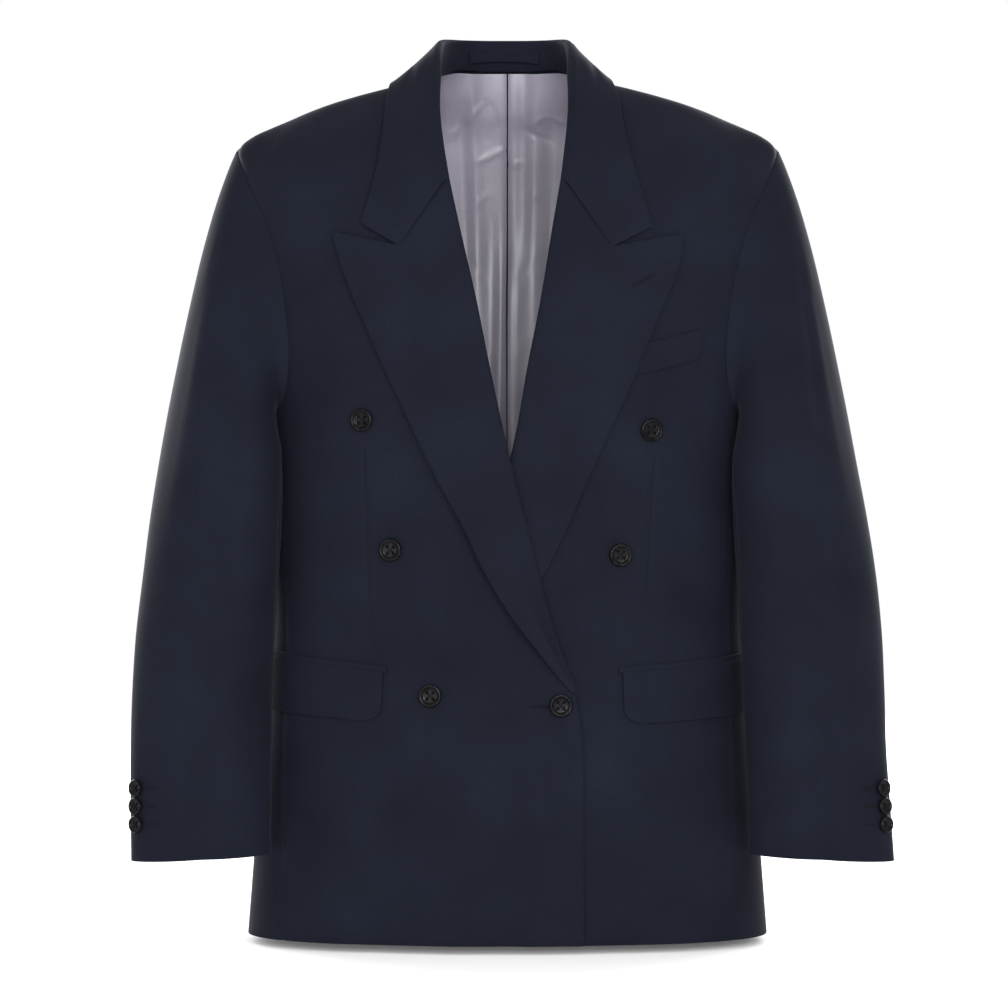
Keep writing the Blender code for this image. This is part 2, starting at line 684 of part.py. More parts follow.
def make_button(name, size, place, normal, material):
    """A dished button with a raised rim, turned about the normal of its cloth."""
    diameter, thickness = size
    radius = diameter / 2
    profile = [(0.0, thickness * 0.55), (radius * 0.62, thickness * 0.6), (radius * 0.78, thickness),
               (radius * 0.93, thickness * 0.95), (radius, thickness * 0.5),
               (radius * 0.8, 0.0), (0.0, 0.0)]
    bm = bmesh.new()
    points = [bm.verts.new(Vector((x, 0, z)) * MM) for x, z in profile]
    for upper, lower in zip(points, points[1:]):
        bm.edges.new((upper, lower))
    mesh = bpy.data.meshes.new(name)
    bm.to_mesh(mesh)
    bm.free()
    made = add_object(name, mesh, material)
    screw = made.modifiers.new("turned", "SCREW")
    screw.steps = screw.render_steps = 16
    screw.use_merge_vertices = True
    screw.merge_threshold = 0.00001
    made.location = place * MM
    made.rotation_euler = normal.to_track_quat("Z", "Y").to_euler()
    return made


def make_buttons(material):
    """Six buttons on the fronts and three on each cuff."""
    for name, side, across, height in FRONT_BUTTONS:
        foot = on_front(side, across, height, WALL + SHANK)
        normal = on_front(side, across, height, WALL + SHANK + 1) - foot
        make_button(name, FRONT_BUTTON, foot, normal, material)
    for side, word in ((-1, "right"), (1, "left")):
        for place, height in CUFF_BUTTON_HEIGHTS.items():
            here = sleeve_ring(side, height, CUFF_BUTTON_AROUND)
            along = sleeve_ring(side, height, CUFF_BUTTON_AROUND + 4) - here
            down = sleeve_ring(side, height - 5, CUFF_BUTTON_AROUND) - here
            normal = along.cross(down).normalized()
            if normal.y > 0:
                normal = -normal
            foot = here + normal * (WALL + SHANK + 0.6)
            make_button(f"cuff_button_{word}_{place}", CUFF_BUTTON, foot, normal, material)


def make_body(wool, satin):
    """Fronts, side panels, backs and the lining of the back."""
    for side, word in ((-1, "right"), (1, "left")):
        flip = side < 0
        sheet(f"front_{word}", front_rows(side), wool, flip=flip)
        sheet(f"side_{word}", side_rows(side), wool, flip=flip)
        sheet(f"back_{word}", back_rows(side), wool, flip=flip)
        sheet(f"lining_back_{word}", lining_rows(side), satin, LINING_WALL, flip=flip)


def make_sleeves(wool):
    """Two-piece sleeves: a top piece over the front, an under piece at the back and inside."""
    count = len(ARM_ANGLES)
    for side, word in ((-1, "right"), (1, "left")):
        flip = side > 0
        top = sleeve_piece(side, BACK_SEAM_AT - count, FRONT_SEAM_AT)
        under = sleeve_piece(side, FRONT_SEAM_AT, BACK_SEAM_AT)
        sheet(f"sleeve_{word}_top", top, wool, flip=flip)
        sheet(f"sleeve_{word}_under", under, wool, flip=flip)


def make_collar_and_lapels(wool):
    """The collar and the two peak lapels."""
    sheet("collar", collar_rows(), wool, offset=0.0)
    sheet("lapel_right", lapel_rows(-1), wool, offset=0.0)
    sheet("lapel_left", lapel_rows(1), wool, offset=0.0)


def make_pockets(wool):
    """Hip pocket flaps with their jetted edges, and the breast welt."""
    for side, word in ((-1, "right"), (1, "left")):
        sheet(f"flap_{word}", flap_rows(side, *POCKETS[side]), wool, flip=side < 0)
        sheet(f"jet_{word}", jet_rows(side, *POCKETS[side][:3]), wool, flip=side < 0)
    sheet("breast_welt", welt_rows(), wool)


def main():
    for old in list(bpy.data.objects):
        bpy.data.objects.remove(old)
    collection = bpy.data.collections.new(COLLECTION)
    bpy.context.scene.collection.children.link(collection)
    wool = make_material("navy_wool", (0.017, 0.019, 0.03), 0.85, 0.2)
    satin = make_material("grey_lining", (0.17, 0.155, 0.19), 0.45)
    horn = make_material("dark_horn", (0.04, 0.04, 0.045), 0.3)
    make_body(wool, satin)
    make_sleeves(wool)
    make_collar_and_lapels(wool)
    make_pockets(wool)
    sheet("hanger_loop", hanger_loop_rows(), wool, wall=1.0, offset=0.0)
    make_buttons(horn)


main()
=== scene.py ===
"""Looks of the double breasted blazer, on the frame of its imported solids.

Millimetres in the tables and forms, metres in the scene. +Z is up and the front
faces -Y. "right" and "left" are the wearer's: the right side is at -X. "across" is
a distance from the centre plane towards a piece's own side, and "turn" is an angle
round the body in degrees: 0 at the centre front, 90 at the side, 180 at the back.
"""
import math

import bpy
import numpy as np
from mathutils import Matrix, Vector


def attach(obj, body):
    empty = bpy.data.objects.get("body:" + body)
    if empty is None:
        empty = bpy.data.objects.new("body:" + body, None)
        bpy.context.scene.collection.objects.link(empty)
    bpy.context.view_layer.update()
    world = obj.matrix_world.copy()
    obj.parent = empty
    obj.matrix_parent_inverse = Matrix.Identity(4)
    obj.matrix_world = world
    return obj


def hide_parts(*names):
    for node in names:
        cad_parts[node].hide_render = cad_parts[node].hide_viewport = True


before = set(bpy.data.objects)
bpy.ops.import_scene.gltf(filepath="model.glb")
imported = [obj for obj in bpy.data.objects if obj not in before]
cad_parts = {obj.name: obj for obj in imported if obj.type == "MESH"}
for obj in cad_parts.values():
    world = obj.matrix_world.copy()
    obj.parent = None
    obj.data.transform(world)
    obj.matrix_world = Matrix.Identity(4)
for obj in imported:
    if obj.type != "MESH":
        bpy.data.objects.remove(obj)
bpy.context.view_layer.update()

MM = 0.001
SIDES = ((-1, "right"), (1, "left"))
WALL = 1.6
LINING_WALL = 1.0
LOOP_WALL = 1.0
LINING_GAP = 2.2
LINING_SEAM = 1.5     # the lining's centre seam is drawn in, and shows as a dark line
SEAM = 0.4            # gap between pieces that are sewn together
SHOULDER_STEP = 0.15
LAY = 0.7             # gap under a piece that lies on another
LAPEL_LAY = 1.3
FRONT_LIFT = 3.4      # how far the right front rides out over the left one,
LAPEL_LIFT = 4.4      # and how much further where the left lapel lies between them
LAPEL_FLOAT = 2.6     # how much further a lapel's edge floats, above where the fronts cross
LAPEL_CURL = {-1: 6.4, 1: 1.8}    # the left one's foot lies flat under the right front
ROUNDNESS = 2.4       # power of the body's ovals: 2 is an ellipse
HEM = -768.0
FOLD_RADIUS = 2.3
COLLAR_RADIUS = 3.0
COLLAR_BEHIND = -4.2  # the collar's stand lies this far inside the body's inner face
STAND_BELOW = 3.6
BEHIND_SLACK = 5.0
RETURN = 6.0          # how far the cloth reaches back inside the edge that it turns over
EDGE_INSET = 3.2

# The body's oval rings: height, half width, front depth, back depth.
BODY = [
    (34, 42, 0.5, 72), (14, 58, 0.5, 79), (0, 67.5, 1, 82), (-3, 71, 17, 83), (-9, 80, 31, 84),
    (-14, 92, 37, 86), (-19, 112, 42, 88), (-25, 137, 47.5, 90), (-38, 178, 56, 95),
    (-50, 203, 64, 99), (-60, 225, 71, 102), (-72, 241, 79, 105), (-100, 240, 92, 111),
    (-134, 232, 102, 117), (-181, 223, 111, 120), (-221, 218, 114, 119), (-256, 215, 115, 116),
    (-315, 212, 113, 110), (-400, 210, 107, 101), (-480, 209, 105, 101), (-560, 213, 107, 107),
    (-640, 220, 109, 110), (-768, 230, 110, 113),
]
# The armhole: angle round it from the shoulder point, then the turn that its front
# and its back edge stand away from the side.
ARMHOLE_TOP, ARMHOLE_LOW = -71.0, -315.0
ARMHOLE = [
    (0, 0, 0), (22, 11, 9), (42, 19.5, 16), (62, 25.5, 21), (84, 29, 24.5), (104, 30.4, 26.5),
    (122, 30, 27), (138, 27.5, 25.5), (152, 23, 21.5), (167, 13, 12.5), (180, 0, 0),
]
# Seams below the armhole: height, turn of the front one, turn of the back one.
SEAMS = [
    (-300, 67, 111), (-400, 66.5, 111), (-480, 66, 111), (-577, 64, 111), (-708, 57.5, 111),
    (-768, 56, 111),
]
SEAM_ROWS = [-335, -374, -415, -458, -503, -550, -600, -655, -711, HEM]
# Heights of a front's rows at its edge, and of a back's at the centre seam.
EDGE_ROWS = [-0.6, -9, -24, -46, -74, -106, -152, -208, -270] + SEAM_ROWS
CENTRE_ROWS = [13, -10, -38, -70, -106, -146, -188, -230, -276] + SEAM_ROWS
FRONT_COLUMNS, BACK_COLUMNS, NECK_COLUMNS = 11, 12, 5
# The roll line and the front edge below it: height, across right, across left.
ROLL = [
    (0, 60, 56), (-40, 59, 53), (-97, 51.6, 47), (-133, 44.3, 41.2), (-159, 38.5, 36.7),
    (-193, 30.5, 31.5), (-254, 18, 19.4), (-305, 7.6, 10.8), (-336, 0.4, 4.7),
    (-383, -10.8, -8), (-436, -24.6, -22), (-483, -35, -35), (-530, -52, -50),
    (-560, -61.7, -58), (-618, -64.3, -60), (-768, -65.1, -60),
]
NECK_END = 68.0       # across of a front at the end of its shoulder seam
# Lapels: roll height, then the outer edge's across and height, right and left.
LAPEL = [
    (-152, 141, -184, 144.5, -186), (-208, 122, -230, 127.5, -227), (-270, 93.5, -293, 104, -285),
    (-335, 58, -366, 71, -359), (-374, 37.5, -405, 53, -401), (-415, 18.5, -446, 33, -443),
    (-458, -6, -487, 3, -487), (-503, -27, -515, -24, -516), (-533, -43.2, -536, -41, -536),
    (-549, -55.4, -550.2, -53, -549),
]
GORGE_TOP = -106.0    # height on the roll line where the collar meets the lapel
GORGE_GAP = 0.15      # from the gorge's line to the collar and to the lapel
RISE_CUTS, BEND_CUTS, FALL_CUTS = 4, 9, 28  # points up the inside, round the fold, out
NOTCH = {-1: (93, -164), 1: (89, -165)}
LAPEL_SAG = [1.0, 0.66, 0.28]
PEAK = {-1: (150.5, -151), 1: (151, -153)}
COLLAR_CORNER = {-1: (125.5, -143.5), 1: (124, -146.5)}
# The collar round the neck: turn round the neckline or height on the front's edge,
# across, depth and height of the fold, outer edge's across right and left, depth, height.
COLLAR_NECK = [
    (180, None, 0, 77, 37, 0, 0, 90, -10), (164, None, 21, 75, 36.8, 30, 29, 86, -10),
    (147, None, 39, 65.5, 36, 57, 50, 74, -10), (129, None, 51, 50, 34.5, 80, 67, 55, -10),
    (111, None, 58, 31, 31.5, 93, 79, 30, -11), (92, None, 60, 12, 25.5, 99, 86, 2, -12),
    (None, -9, 60.5, -10, 14, 103, 92, -26, -22), (None, -24, 60.5, -30, -5, 105.5, 97, -46, -36),
]
FOLD_SHARE = {-1: 1.0, 1: 0.9}     # the left side of the fold sits nearer the centre
# The collar down each front: height of the fold, outer edge's across right, left, height.
COLLAR_FRONT = [(-46, 108.5, 102, -68), (-74, 113, 109.5, -98)]
# Sleeves: height, outer and inner across of the right one, then of the left one,
# depth of the centre, half depth, and how far the front end leans inwards.
SLEEVE = [
    (-352, 309, 198, 309.5, 197, -34, 68, 0.26), (-400, 315, 200, 317, 200, -44, 61, 0.23),
    (-450, 320, 202.5, 323.5, 202.5, -53, 56, 0.19), (-500, 325, 205, 327.5, 205, -60, 51, 0.15),
    (-550, 327.5, 206.5, 329, 207, -66, 46, 0.1), (-600, 328.5, 207.5, 330, 209, -70, 42, 0.06),
    (-648, 328, 207.5, 333, 211, -74, 38, 0.02), (-694, 327, 207.5, 336, 212, -77, 34, 0),
]
CUFF_DROP = 3.0       # the cuff is this much lower at its outer side, and higher at its inner one
CAP_STEPS = [0.05, 0.15, 0.32, 0.53, 0.76]    # rings between the armhole and the first row
CAP_LEAN = 0.46
CAP_CLEARANCE = 0.3
BODY_CLEARANCE = 5.0  # gap from a sleeve to the body, and to a pocket flap
POCKET_CLEARANCE = 9.0
FRONT_SEAM_AT, BACK_SEAM_AT = 8, 19     # points of ARM_ANGLES where the sleeve's seams run
SLEEVE_TWIST = 29.0   # degrees that a sleeve's seams turn by, down to the elbow
ARM_ACROSS, ARM_DEPTH = 255.0, -30.0    # a line down the inside of each sleeve
SLEEVE_FOLD_DEPTH = 4.0
POCKET_REAR = 76.0    # turn where the hip pockets end, behind the sleeves
JET_WIDTH = 4.6
# Hip pockets: flap's front end across, its top at the front and rear, its lower edge.
POCKETS = {-1: (108, -532, -520, -574.6, -566), 1: (99.5, -533, -523, -577, -570)}
WELT_ACROSS = (104, 167)
WELT_TOP = (-251, -234.8)
WELT_DEPTH = 25.0
# Button places: name, side of the front it is on, across (to that side), height.
FRONT_BUTTONS = [
    ("button_right_top", -1, 125.4, -313.6), ("button_right_middle", -1, 100.8, -426.3),
    ("button_right_low", -1, 66, -552.4), ("button_left_top", 1, 123.8, -322.2),
    ("button_left_middle", 1, 97.3, -430.6), ("button_fastening", -1, -45.3, -560.6),
]
FRONT_BUTTON = (20.0, 3.8)
CUFF_BUTTON = (15.0, 3.2)
CUFF_BUTTON_HEIGHTS = {"upper": -632.0, "middle": -647.2, "lower": -662.4}
CUFF_BUTTON_AROUND = 30.0
CUFF_HOLE_AROUND = CUFF_BUTTON_AROUND + 18
CUFF_HOLE_LENGTH = 9.0
SHANK = 1.0           # gap under a button, which its thread spans
# Buttonholes on the right front and on the left lapel: side, across, height, height off
# the body, the way it runs, and length.
FRONT_HOLE = (-1, -27.5, -561.5, WALL, (1.0, 0, 0), 17.0)
LAPEL_HOLE = (1, 116.0, -193.6, WALL * 1.5 + LAPEL_LAY + 2.4 + WALL / 2, (20.0, 0, 10.4), 23.0)
# Darts down the fronts: side, then across and height of the top and of the foot.
DARTS = [("right", -1, (124, -330), (119, -504)), ("left", 1, (127, -338), (119, -490))]

# Soft folds that the cloth has taken, each along a straight run. Body: across and
# height of its start and end (+ is the wearer's left), half width, rise (- sinks in).
FRONT_FOLDS = [
    (6, -560, 2, -766, 9, -1.5), (22, -575, 20, -766, 12, 1.3), (-66, -560, -72, -640, 10, -1.2),
    (-40, -590, -52, -766, 15, 0.9), (70, -470, 48, -556, 8, 1.3), (88, -452, 62, -548, 9, -1.2),
    (112, -470, 78, -556, 12, 0.9), (52, -430, 34, -520, 8, -0.9), (-84, -470, -58, -548, 10, -0.8),
    (-118, -480, -74, -556, 12, 0.7), (62, -585, 84, -700, 14, -0.9),
    (-92, -590, -112, -730, 15, -0.9), (140, -600, 152, -766, 16, 1.2),
    (-140, -600, -152, -766, 17, 1.1), (170, -130, 120, -230, 20, -1.0),
    (-172, -130, -124, -236, 20, -1.1), (186, -250, 150, -330, 13, -1.1),
    (-186, -254, -152, -330, 14, -1.2), (150, -345, 165, -500, 18, -0.8),
    (-150, -345, -166, -500, 18, -0.8), (128, -320, 118, -505, 2.2, -0.8),
    (-124, -312, -119, -520, 2.2, -0.8),
]
BACK_FOLDS = [
    (-60, -30, 60, -28, 9, -1.0), (-96, -52, 90, -50, 12, 1.0), (150, -110, 118, -250, 14, -1.8),
    (-152, -112, -116, -262, 15, -1.7), (174, -150, 150, -300, 10, 1.5),
    (-176, -146, -150, -296, 10, 1.4), (20, -452, 140, -440, 11, 1.3),
    (-24, -446, -138, -458, 12, 1.2), (12, -478, 110, -486, 10, -1.2),
    (-16, -482, -120, -474, 10, -1.1), (70, -540, 84, -766, 20, 1.7),
    (-72, -535, -88, -766, 21, 1.8), (120, -560, 140, -766, 16, -1.3),
    (-122, -560, -142, -766, 17, -1.4), (30, -560, 36, -766, 18, -1.2),
    (-34, -560, -40, -766, 18, -1.1),
]
# The lining's own wrinkles, inwards from the back: same columns.
LINING_FOLDS = [
    (-58, -54, -18, -15, 1.9, 1.7), (-20, -12, -4, -50, 2.2, -1.6), (14, -42, 38, -28, 1.9, 1.5),
    (36, -28, 52, -38, 1.9, 1.5), (14, -41, 47, -56, 2.0, -1.5), (-31, -74, 2, -56, 2.0, 1.3),
    (-1, -78, 18, -67, 1.8, 1.2), (-46, 70, -38, -200, 5, -2.2), (-33, 64, -27, -240, 4.5, 2.0),
    (14, 70, 16, -170, 4.5, -2.4), (27, 70, 22, -280, 7, 1.8), (47, 66, 38, -220, 5, -2.0),
    (-14, -90, -17, -330, 4.5, -2.4), (-6, -130, -10, -420, 3.5, 2.2),
    (9, -150, 5, -400, 3.6, -2.2), (-40, -120, -14, -96, 1.8, 0.7), (8, -112, 34, -96, 1.7, 0.6),
    (-36, -160, -12, -190, 1.9, -0.7), (30, -150, 6, -186, 1.8, 0.6),
    (-26, -230, -4, -262, 1.9, 0.7), (20, -226, 4, -262, 2.0, -0.6),
    (-80, -160, -60, -520, 12, 1.6), (84, -150, 66, -520, 13, 1.6),
    (-120, -240, -110, -600, 12, 1.4), (124, -230, 112, -600, 12, 1.4),
    (-20, -330, -16, -560, 7, 1.6), (22, -340, 18, -580, 8, 1.5),
]
# Sleeve folds: angle round the sleeve and height of the start, of the end, half width
# and rise. 0 is its outer side, 90 its front, 180 its inner side.
SLEEVE_FOLDS = {
    1: [
        (66, -150, 64, -330, 8, -2.2), (64, -300, 86, -510, 8, -2.4), (86, -480, 89, -694, 9, -2.6),
        (40, -170, 44, -420, 12, 1.3), (112, -330, 108, -600, 12, 1.3),
        (150, -360, 70, -420, 10, -1.6), (160, -440, 76, -486, 9, -1.4),
        (168, -520, 90, -548, 9, 1.1), (200, -400, 280, -452, 12, -1.8),
        (196, -500, 270, -534, 12, -1.6), (300, -200, 310, -520, 14, 1.2),
        (28, -560, 20, -694, 9, 0.9), (250, -180, 262, -340, 13, -1.6),
        (16, -110, 20, -210, 12, 0.9),
    ],
    -1: [
        (84, -170, 86, -360, 11, -1.5), (86, -330, 96, -560, 10, -1.6),
        (92, -540, 90, -694, 11, -1.5), (46, -180, 50, -450, 13, 1.1),
        (118, -340, 112, -590, 12, 1.2), (152, -350, 74, -396, 11, -1.7),
        (158, -428, 66, -470, 10, -1.3), (166, -508, 84, -560, 10, 1.2),
        (204, -392, 284, -440, 12, -1.7), (198, -492, 268, -540, 12, -1.7),
        (298, -190, 306, -500, 14, 1.3), (30, -540, 22, -694, 10, 0.8),
        (252, -170, 260, -330, 13, -1.5), (18, -112, 22, -200, 12, 0.8),
    ],
}
LINING_SINK = 1.4           # the most that a wrinkle sinks towards the back's cloth
SLEEVE_GIRTH_RADIUS = 56.0  # turns an angle round a sleeve into a length on it


def smooth_step(value):
    """Rise softly from 0 to 1 while value does."""
    value = np.clip(value, 0.0, 1.0)
    return value * value * (3 - 2 * value)


def ramp(value, start, end):
    """Rise softly from 0 to 1 while a value goes from start to end, up or down."""
    return smooth_step((value - start) / (end - start))


def hermite(start, leave, end, arrive, t):
    """The cubic from start to end that leaves and arrives with these slopes."""
    return (start * (2 * t**3 - 3 * t**2 + 1) + leave * (t**3 - 2 * t**2 + t)
            + end * (3 * t**2 - 2 * t**3) + arrive * (t**3 - t**2))


def line(table, column):
    """Smooth line through a table's column, against its first column."""
    rows = sorted(table, key=lambda row: row[0])
    xs = np.array([row[0] for row in rows], float)
    ys = np.array([row[column] for row in rows], float)
    steps = np.diff(ys) / np.diff(xs)
    same_way = steps[:-1] * steps[1:] > 0
    total = np.where(same_way, steps[:-1] + steps[1:], 1.0)
    inner = np.where(same_way, 2 * steps[:-1] * steps[1:] / total, 0.0)
    slopes = np.concatenate([steps[:1], inner, steps[-1:]])

    def at(x):
        x = np.clip(np.asarray(x, float), xs[0], xs[-1])
        i = np.clip(np.searchsorted(xs, x, side="right") - 1, 0, len(xs) - 2)
        width = xs[i + 1] - xs[i]
        t = (x - xs[i]) / width
        return hermite(ys[i], slopes[i] * width, ys[i + 1], slopes[i + 1] * width, t)

    return at


half_width, front_depth, back_depth = (line(BODY, column) for column in (1, 2, 3))
armhole_front, armhole_back = line(ARMHOLE, 1), line(ARMHOLE, 2)
front_seam, back_seam = line(SEAMS, 1), line(SEAMS, 2)
roll_line = {-1: line(ROLL, 1), 1: line(ROLL, 2)}


def unit(vectors):
    """Vectors of length one."""
    return vectors / np.maximum(np.linalg.norm(vectors, axis=-1, keepdims=True), 1e-9)


def ring_sizes(height, front):
    """Half width and depth of a body ring, with how fast each grows with height."""
    sizes = []
    for reach in (0, 1, -1):
        depth = np.where(front, front_depth(height + reach), back_depth(height + reach))
        sizes.append((half_width(height + reach), depth))
    width, depth = sizes[0]
    return width, depth, (sizes[1][0] - sizes[2][0]) / 2, (sizes[1][1] - sizes[2][1]) / 2


def on_body(turn, height, out=0.0):
    """Points on the body's inner face, moved out along its normal. -turn is the right side."""
    turn, height, out = np.broadcast_arrays(*(np.asarray(v, float) for v in (turn, height, out)))
    sine, cosine = np.sin(np.radians(turn)), np.cos(np.radians(turn))
    width, depth, width_growth, depth_growth = ring_sizes(height, cosine >= 0)
    side, face = np.where(sine < 0, -1, 1), np.where(cosine < 0, 1, -1)
    sine, cosine = abs(sine), abs(cosine)
    power = 2 / ROUNDNESS
    point = np.stack([side * width * sine**power, face * depth * cosine**power, height], -1)
    rise = -(sine**2 * width_growth / width + cosine**2 * depth_growth / depth)
    normal = np.stack([side * sine ** (2 - power) / width, face * cosine ** (2 - power) / depth,
                       rise], -1)
    return point + unit(normal) * out[..., None]


def turn_at(across, height):
    """Turn on the front where the body is this far across."""
    share = np.minimum(1.0, abs(across) / half_width(height))
    return np.copysign(np.degrees(np.arcsin(share ** (ROUNDNESS / 2))), across)


def overlap_lift(point):
    """How far the right front rides out over the left front and its lapel."""
    over = ramp(point[..., 0], -105, -45) * ramp(point[..., 2], -215, -325)
    return over * (FRONT_LIFT + LAPEL_LIFT * ramp(point[..., 2], -610, -554))


def on_front(side, across, height, out=0.0):
    """Points on a front, by their distance across and their height."""
    if side < 0:
        flat = np.stack(np.broadcast_arrays(side * np.asarray(across, float), 0.0, height), -1)
        out = out + overlap_lift(flat)
    return on_body(turn_at(side * np.asarray(across, float), height), height, out)


def off_body(point):
    """Distance of points near the body from it, and the way straight out there."""
    width, depth, width_growth, depth_growth = ring_sizes(point[..., 2], point[..., 1] < 0)
    x_share, y_share = abs(point[..., 0]) / width, abs(point[..., 1]) / depth
    total = np.maximum(x_share**ROUNDNESS + y_share**ROUNDNESS, 1e-9)
    x_part = x_share ** (ROUNDNESS - 1) / width
    y_part = y_share ** (ROUNDNESS - 1) / depth
    slope = np.stack([np.copysign(x_part, point[..., 0]), np.copysign(y_part, point[..., 1]),
                      -x_part * x_share * width_growth - y_part * y_share * depth_growth], -1)
    slope *= (total ** (1 / ROUNDNESS - 1))[..., None]
    steepness = np.maximum(np.linalg.norm(slope, axis=-1), 1e-9)
    return (total ** (1 / ROUNDNESS) - 1) / steepness, slope / steepness[..., None]


def settle(point, out):
    """Move points in or out until they stand this far off the body."""
    for _ in range(16):
        distance, direction = off_body(point)
        point = point + direction * ((out - distance) * 0.9)[..., None]
    return point


def clear(point, out, side=0):
    """Settle points only if they stand closer to the body than this."""
    if side < 0:
        out = out + overlap_lift(point)
    near = off_body(point)[0] < out
    return np.where(near[..., None], settle(point, out), point)


def armhole_turn_height(angle):
    """Turn and height of the armhole's edge; 0 to 180 is its front half."""
    angle = np.asarray(angle, float)
    middle, half = (ARMHOLE_TOP + ARMHOLE_LOW) / 2, (ARMHOLE_TOP - ARMHOLE_LOW) / 2
    away = np.where(angle <= 180, armhole_front(angle), -armhole_back(360 - angle))
    return 90 - away, middle + half * np.cos(np.radians(angle))


# Angles round the armhole where the front, the side panel and the back have points.
FRONT_ANGLES = [0, 22, 42, 62, 84, 104, 122, 138, 152]
UNDER_ANGLES = [152, 164, 176, 188, 200, 211]
BACK_ANGLES = [211, 226, 242, 259, 279, 299, 319, 339, 360]
ARM_ANGLES = FRONT_ANGLES + UNDER_ANGLES[1:] + BACK_ANGLES[1:-1]


def mirrored(points, side):
    """Points of the left side, or the same ones on the right side."""
    return points * np.array([side, 1.0, 1.0])


def front_edge(side, height):
    """Across of a front's own edge: inside the roll line, and free below it."""
    inset = EDGE_INSET * ramp(height, -566, -552)
    neck = NECK_END - EDGE_INSET - roll_line[side](0)
    return roll_line[side](height) + inset + neck * ramp(height, -62, 0) ** 1.4


def seam_shift(turn, height):
    """Turn by which a seam's edge steps back to leave its share of the gap."""
    return SEAM / 2 / np.linalg.norm(on_body(turn + 1, height) - on_body(turn, height))


def front_rows(side):
    """A front: shoulder seam, armhole and side seam on one edge, roll line on the other."""
    outer = [armhole_turn_height(angle) for angle in FRONT_ANGLES]
    outer[0] = (outer[0][0] - SHOULDER_STEP, outer[0][1])
    outer += [(front_seam(height), height) for height in SEAM_ROWS]
    share = np.linspace(0, 1, FRONT_COLUMNS)
    rows = []
    for i, (outer_turn, outer_height) in enumerate(outer):
        if i >= len(FRONT_ANGLES) - 1:
            outer_turn = outer_turn - seam_shift(outer_turn, outer_height)
        height = EDGE_ROWS[i]
        edge_turn = turn_at(front_edge(side, height), height) if i else outer_turn
        turn = edge_turn + (outer_turn - edge_turn) * share
        z = height + (outer_height - height) * share
        lift = overlap_lift(on_body(-turn, z)) if side < 0 else 0.0
        rows.append(mirrored(on_body(turn, z, lift), side))
    return np.array(rows)


def side_rows(side):
    """The side panel, from the front seam to the back seam, the armhole's foot on top."""
    turns, heights = armhole_turn_height(UNDER_ANGLES)
    share = np.linspace(0, 1, len(UNDER_ANGLES))
    rows = []
    for i, height in enumerate([None] + SEAM_ROWS):
        level = heights if height is None else np.full(len(share), float(height))
        start = turns[0] if height is None else front_seam(height)
        end = turns[-1] if height is None else back_seam(height)
        start = start + seam_shift(start, level[0])
        end = end - seam_shift(end, level[-1])
        turn = start + (end - start) * share
        if i == 0:
            turn[1:-1] = turns[1:-1]
        rows.append(mirrored(on_body(turn, level), side))
    return np.array(rows)


def neckline_height(turn):
    """Height of the back neck's seam, which rises to the centre back."""
    return CENTRE_ROWS[0] * ramp(turn, 90, 138)


def back_rows(side, out=0.0):
    """A back half, from its side seam to the centre back seam."""
    outer = [armhole_turn_height(angle) for angle in reversed(BACK_ANGLES)]
    outer[0] = (outer[0][0] + SHOULDER_STEP, outer[0][1])
    outer += [(back_seam(height), height) for height in SEAM_ROWS]
    last_arm = len(BACK_ANGLES) - 1
    neck_share = NECK_COLUMNS / (BACK_COLUMNS - 1)
    seam_turn = 90 + SHOULDER_STEP
    share = np.linspace(0, 1, BACK_COLUMNS)
    at_neck = share >= 1 - neck_share - 1e-9
    rows = []
    for i, (outer_turn, outer_height) in enumerate(outer):
        if i >= last_arm:
            outer_turn = outer_turn + seam_shift(outer_turn, outer_height)
        height = CENTRE_ROWS[i]
        centre_turn = 180 - turn_at(SEAM / 2, height)
        pull_share = (1 - i / last_arm) ** 2.2 if i < last_arm else 0.0
        turn = outer_turn + (centre_turn - outer_turn) * share
        point = on_body(turn, outer_height + (height - outer_height) * share, out)
        neck_turn = centre_turn + (seam_turn - centre_turn) * (1 - share) / neck_share
        top_turn = np.where(at_neck, neck_turn, seam_turn)
        shoulder_height = ARMHOLE_TOP * (1 - share / (1 - neck_share)) - 0.2
        top_height = np.where(at_neck, neckline_height(top_turn), shoulder_height)
        straight_turn = outer[0][0] + (centre_turn - outer[0][0]) * share
        straight_height = outer[0][1] + (CENTRE_ROWS[0] - outer[0][1]) * share
        pull = on_body(top_turn, top_height) - on_body(straight_turn, straight_height)
        if i == 0:
            point = on_body(top_turn, top_height, out)
        elif pull_share > 0.01:
            point = settle(point + pull * pull_share, out)
        rows.append(mirrored(point, side))
    return np.array(rows)


def lining_rows(side):
    """The back's lining: the back's own points, moved in, from under the collar down."""
    rows = back_rows(side, -LINING_GAP - LINING_WALL)[:, 1:]
    drop = np.where(np.arange(rows.shape[1]) > NECK_COLUMNS, 0.22, 0.45)[:, None]
    neck = rows[0] + (rows[1] - rows[0]) * drop
    foot = (rows[-2] + rows[-1]) / 2
    rows = np.array([neck, *rows[1:7], *rows[7:-1:2], foot])
    rows[:, -1, 0] = side * LINING_SEAM / 2
    return rows


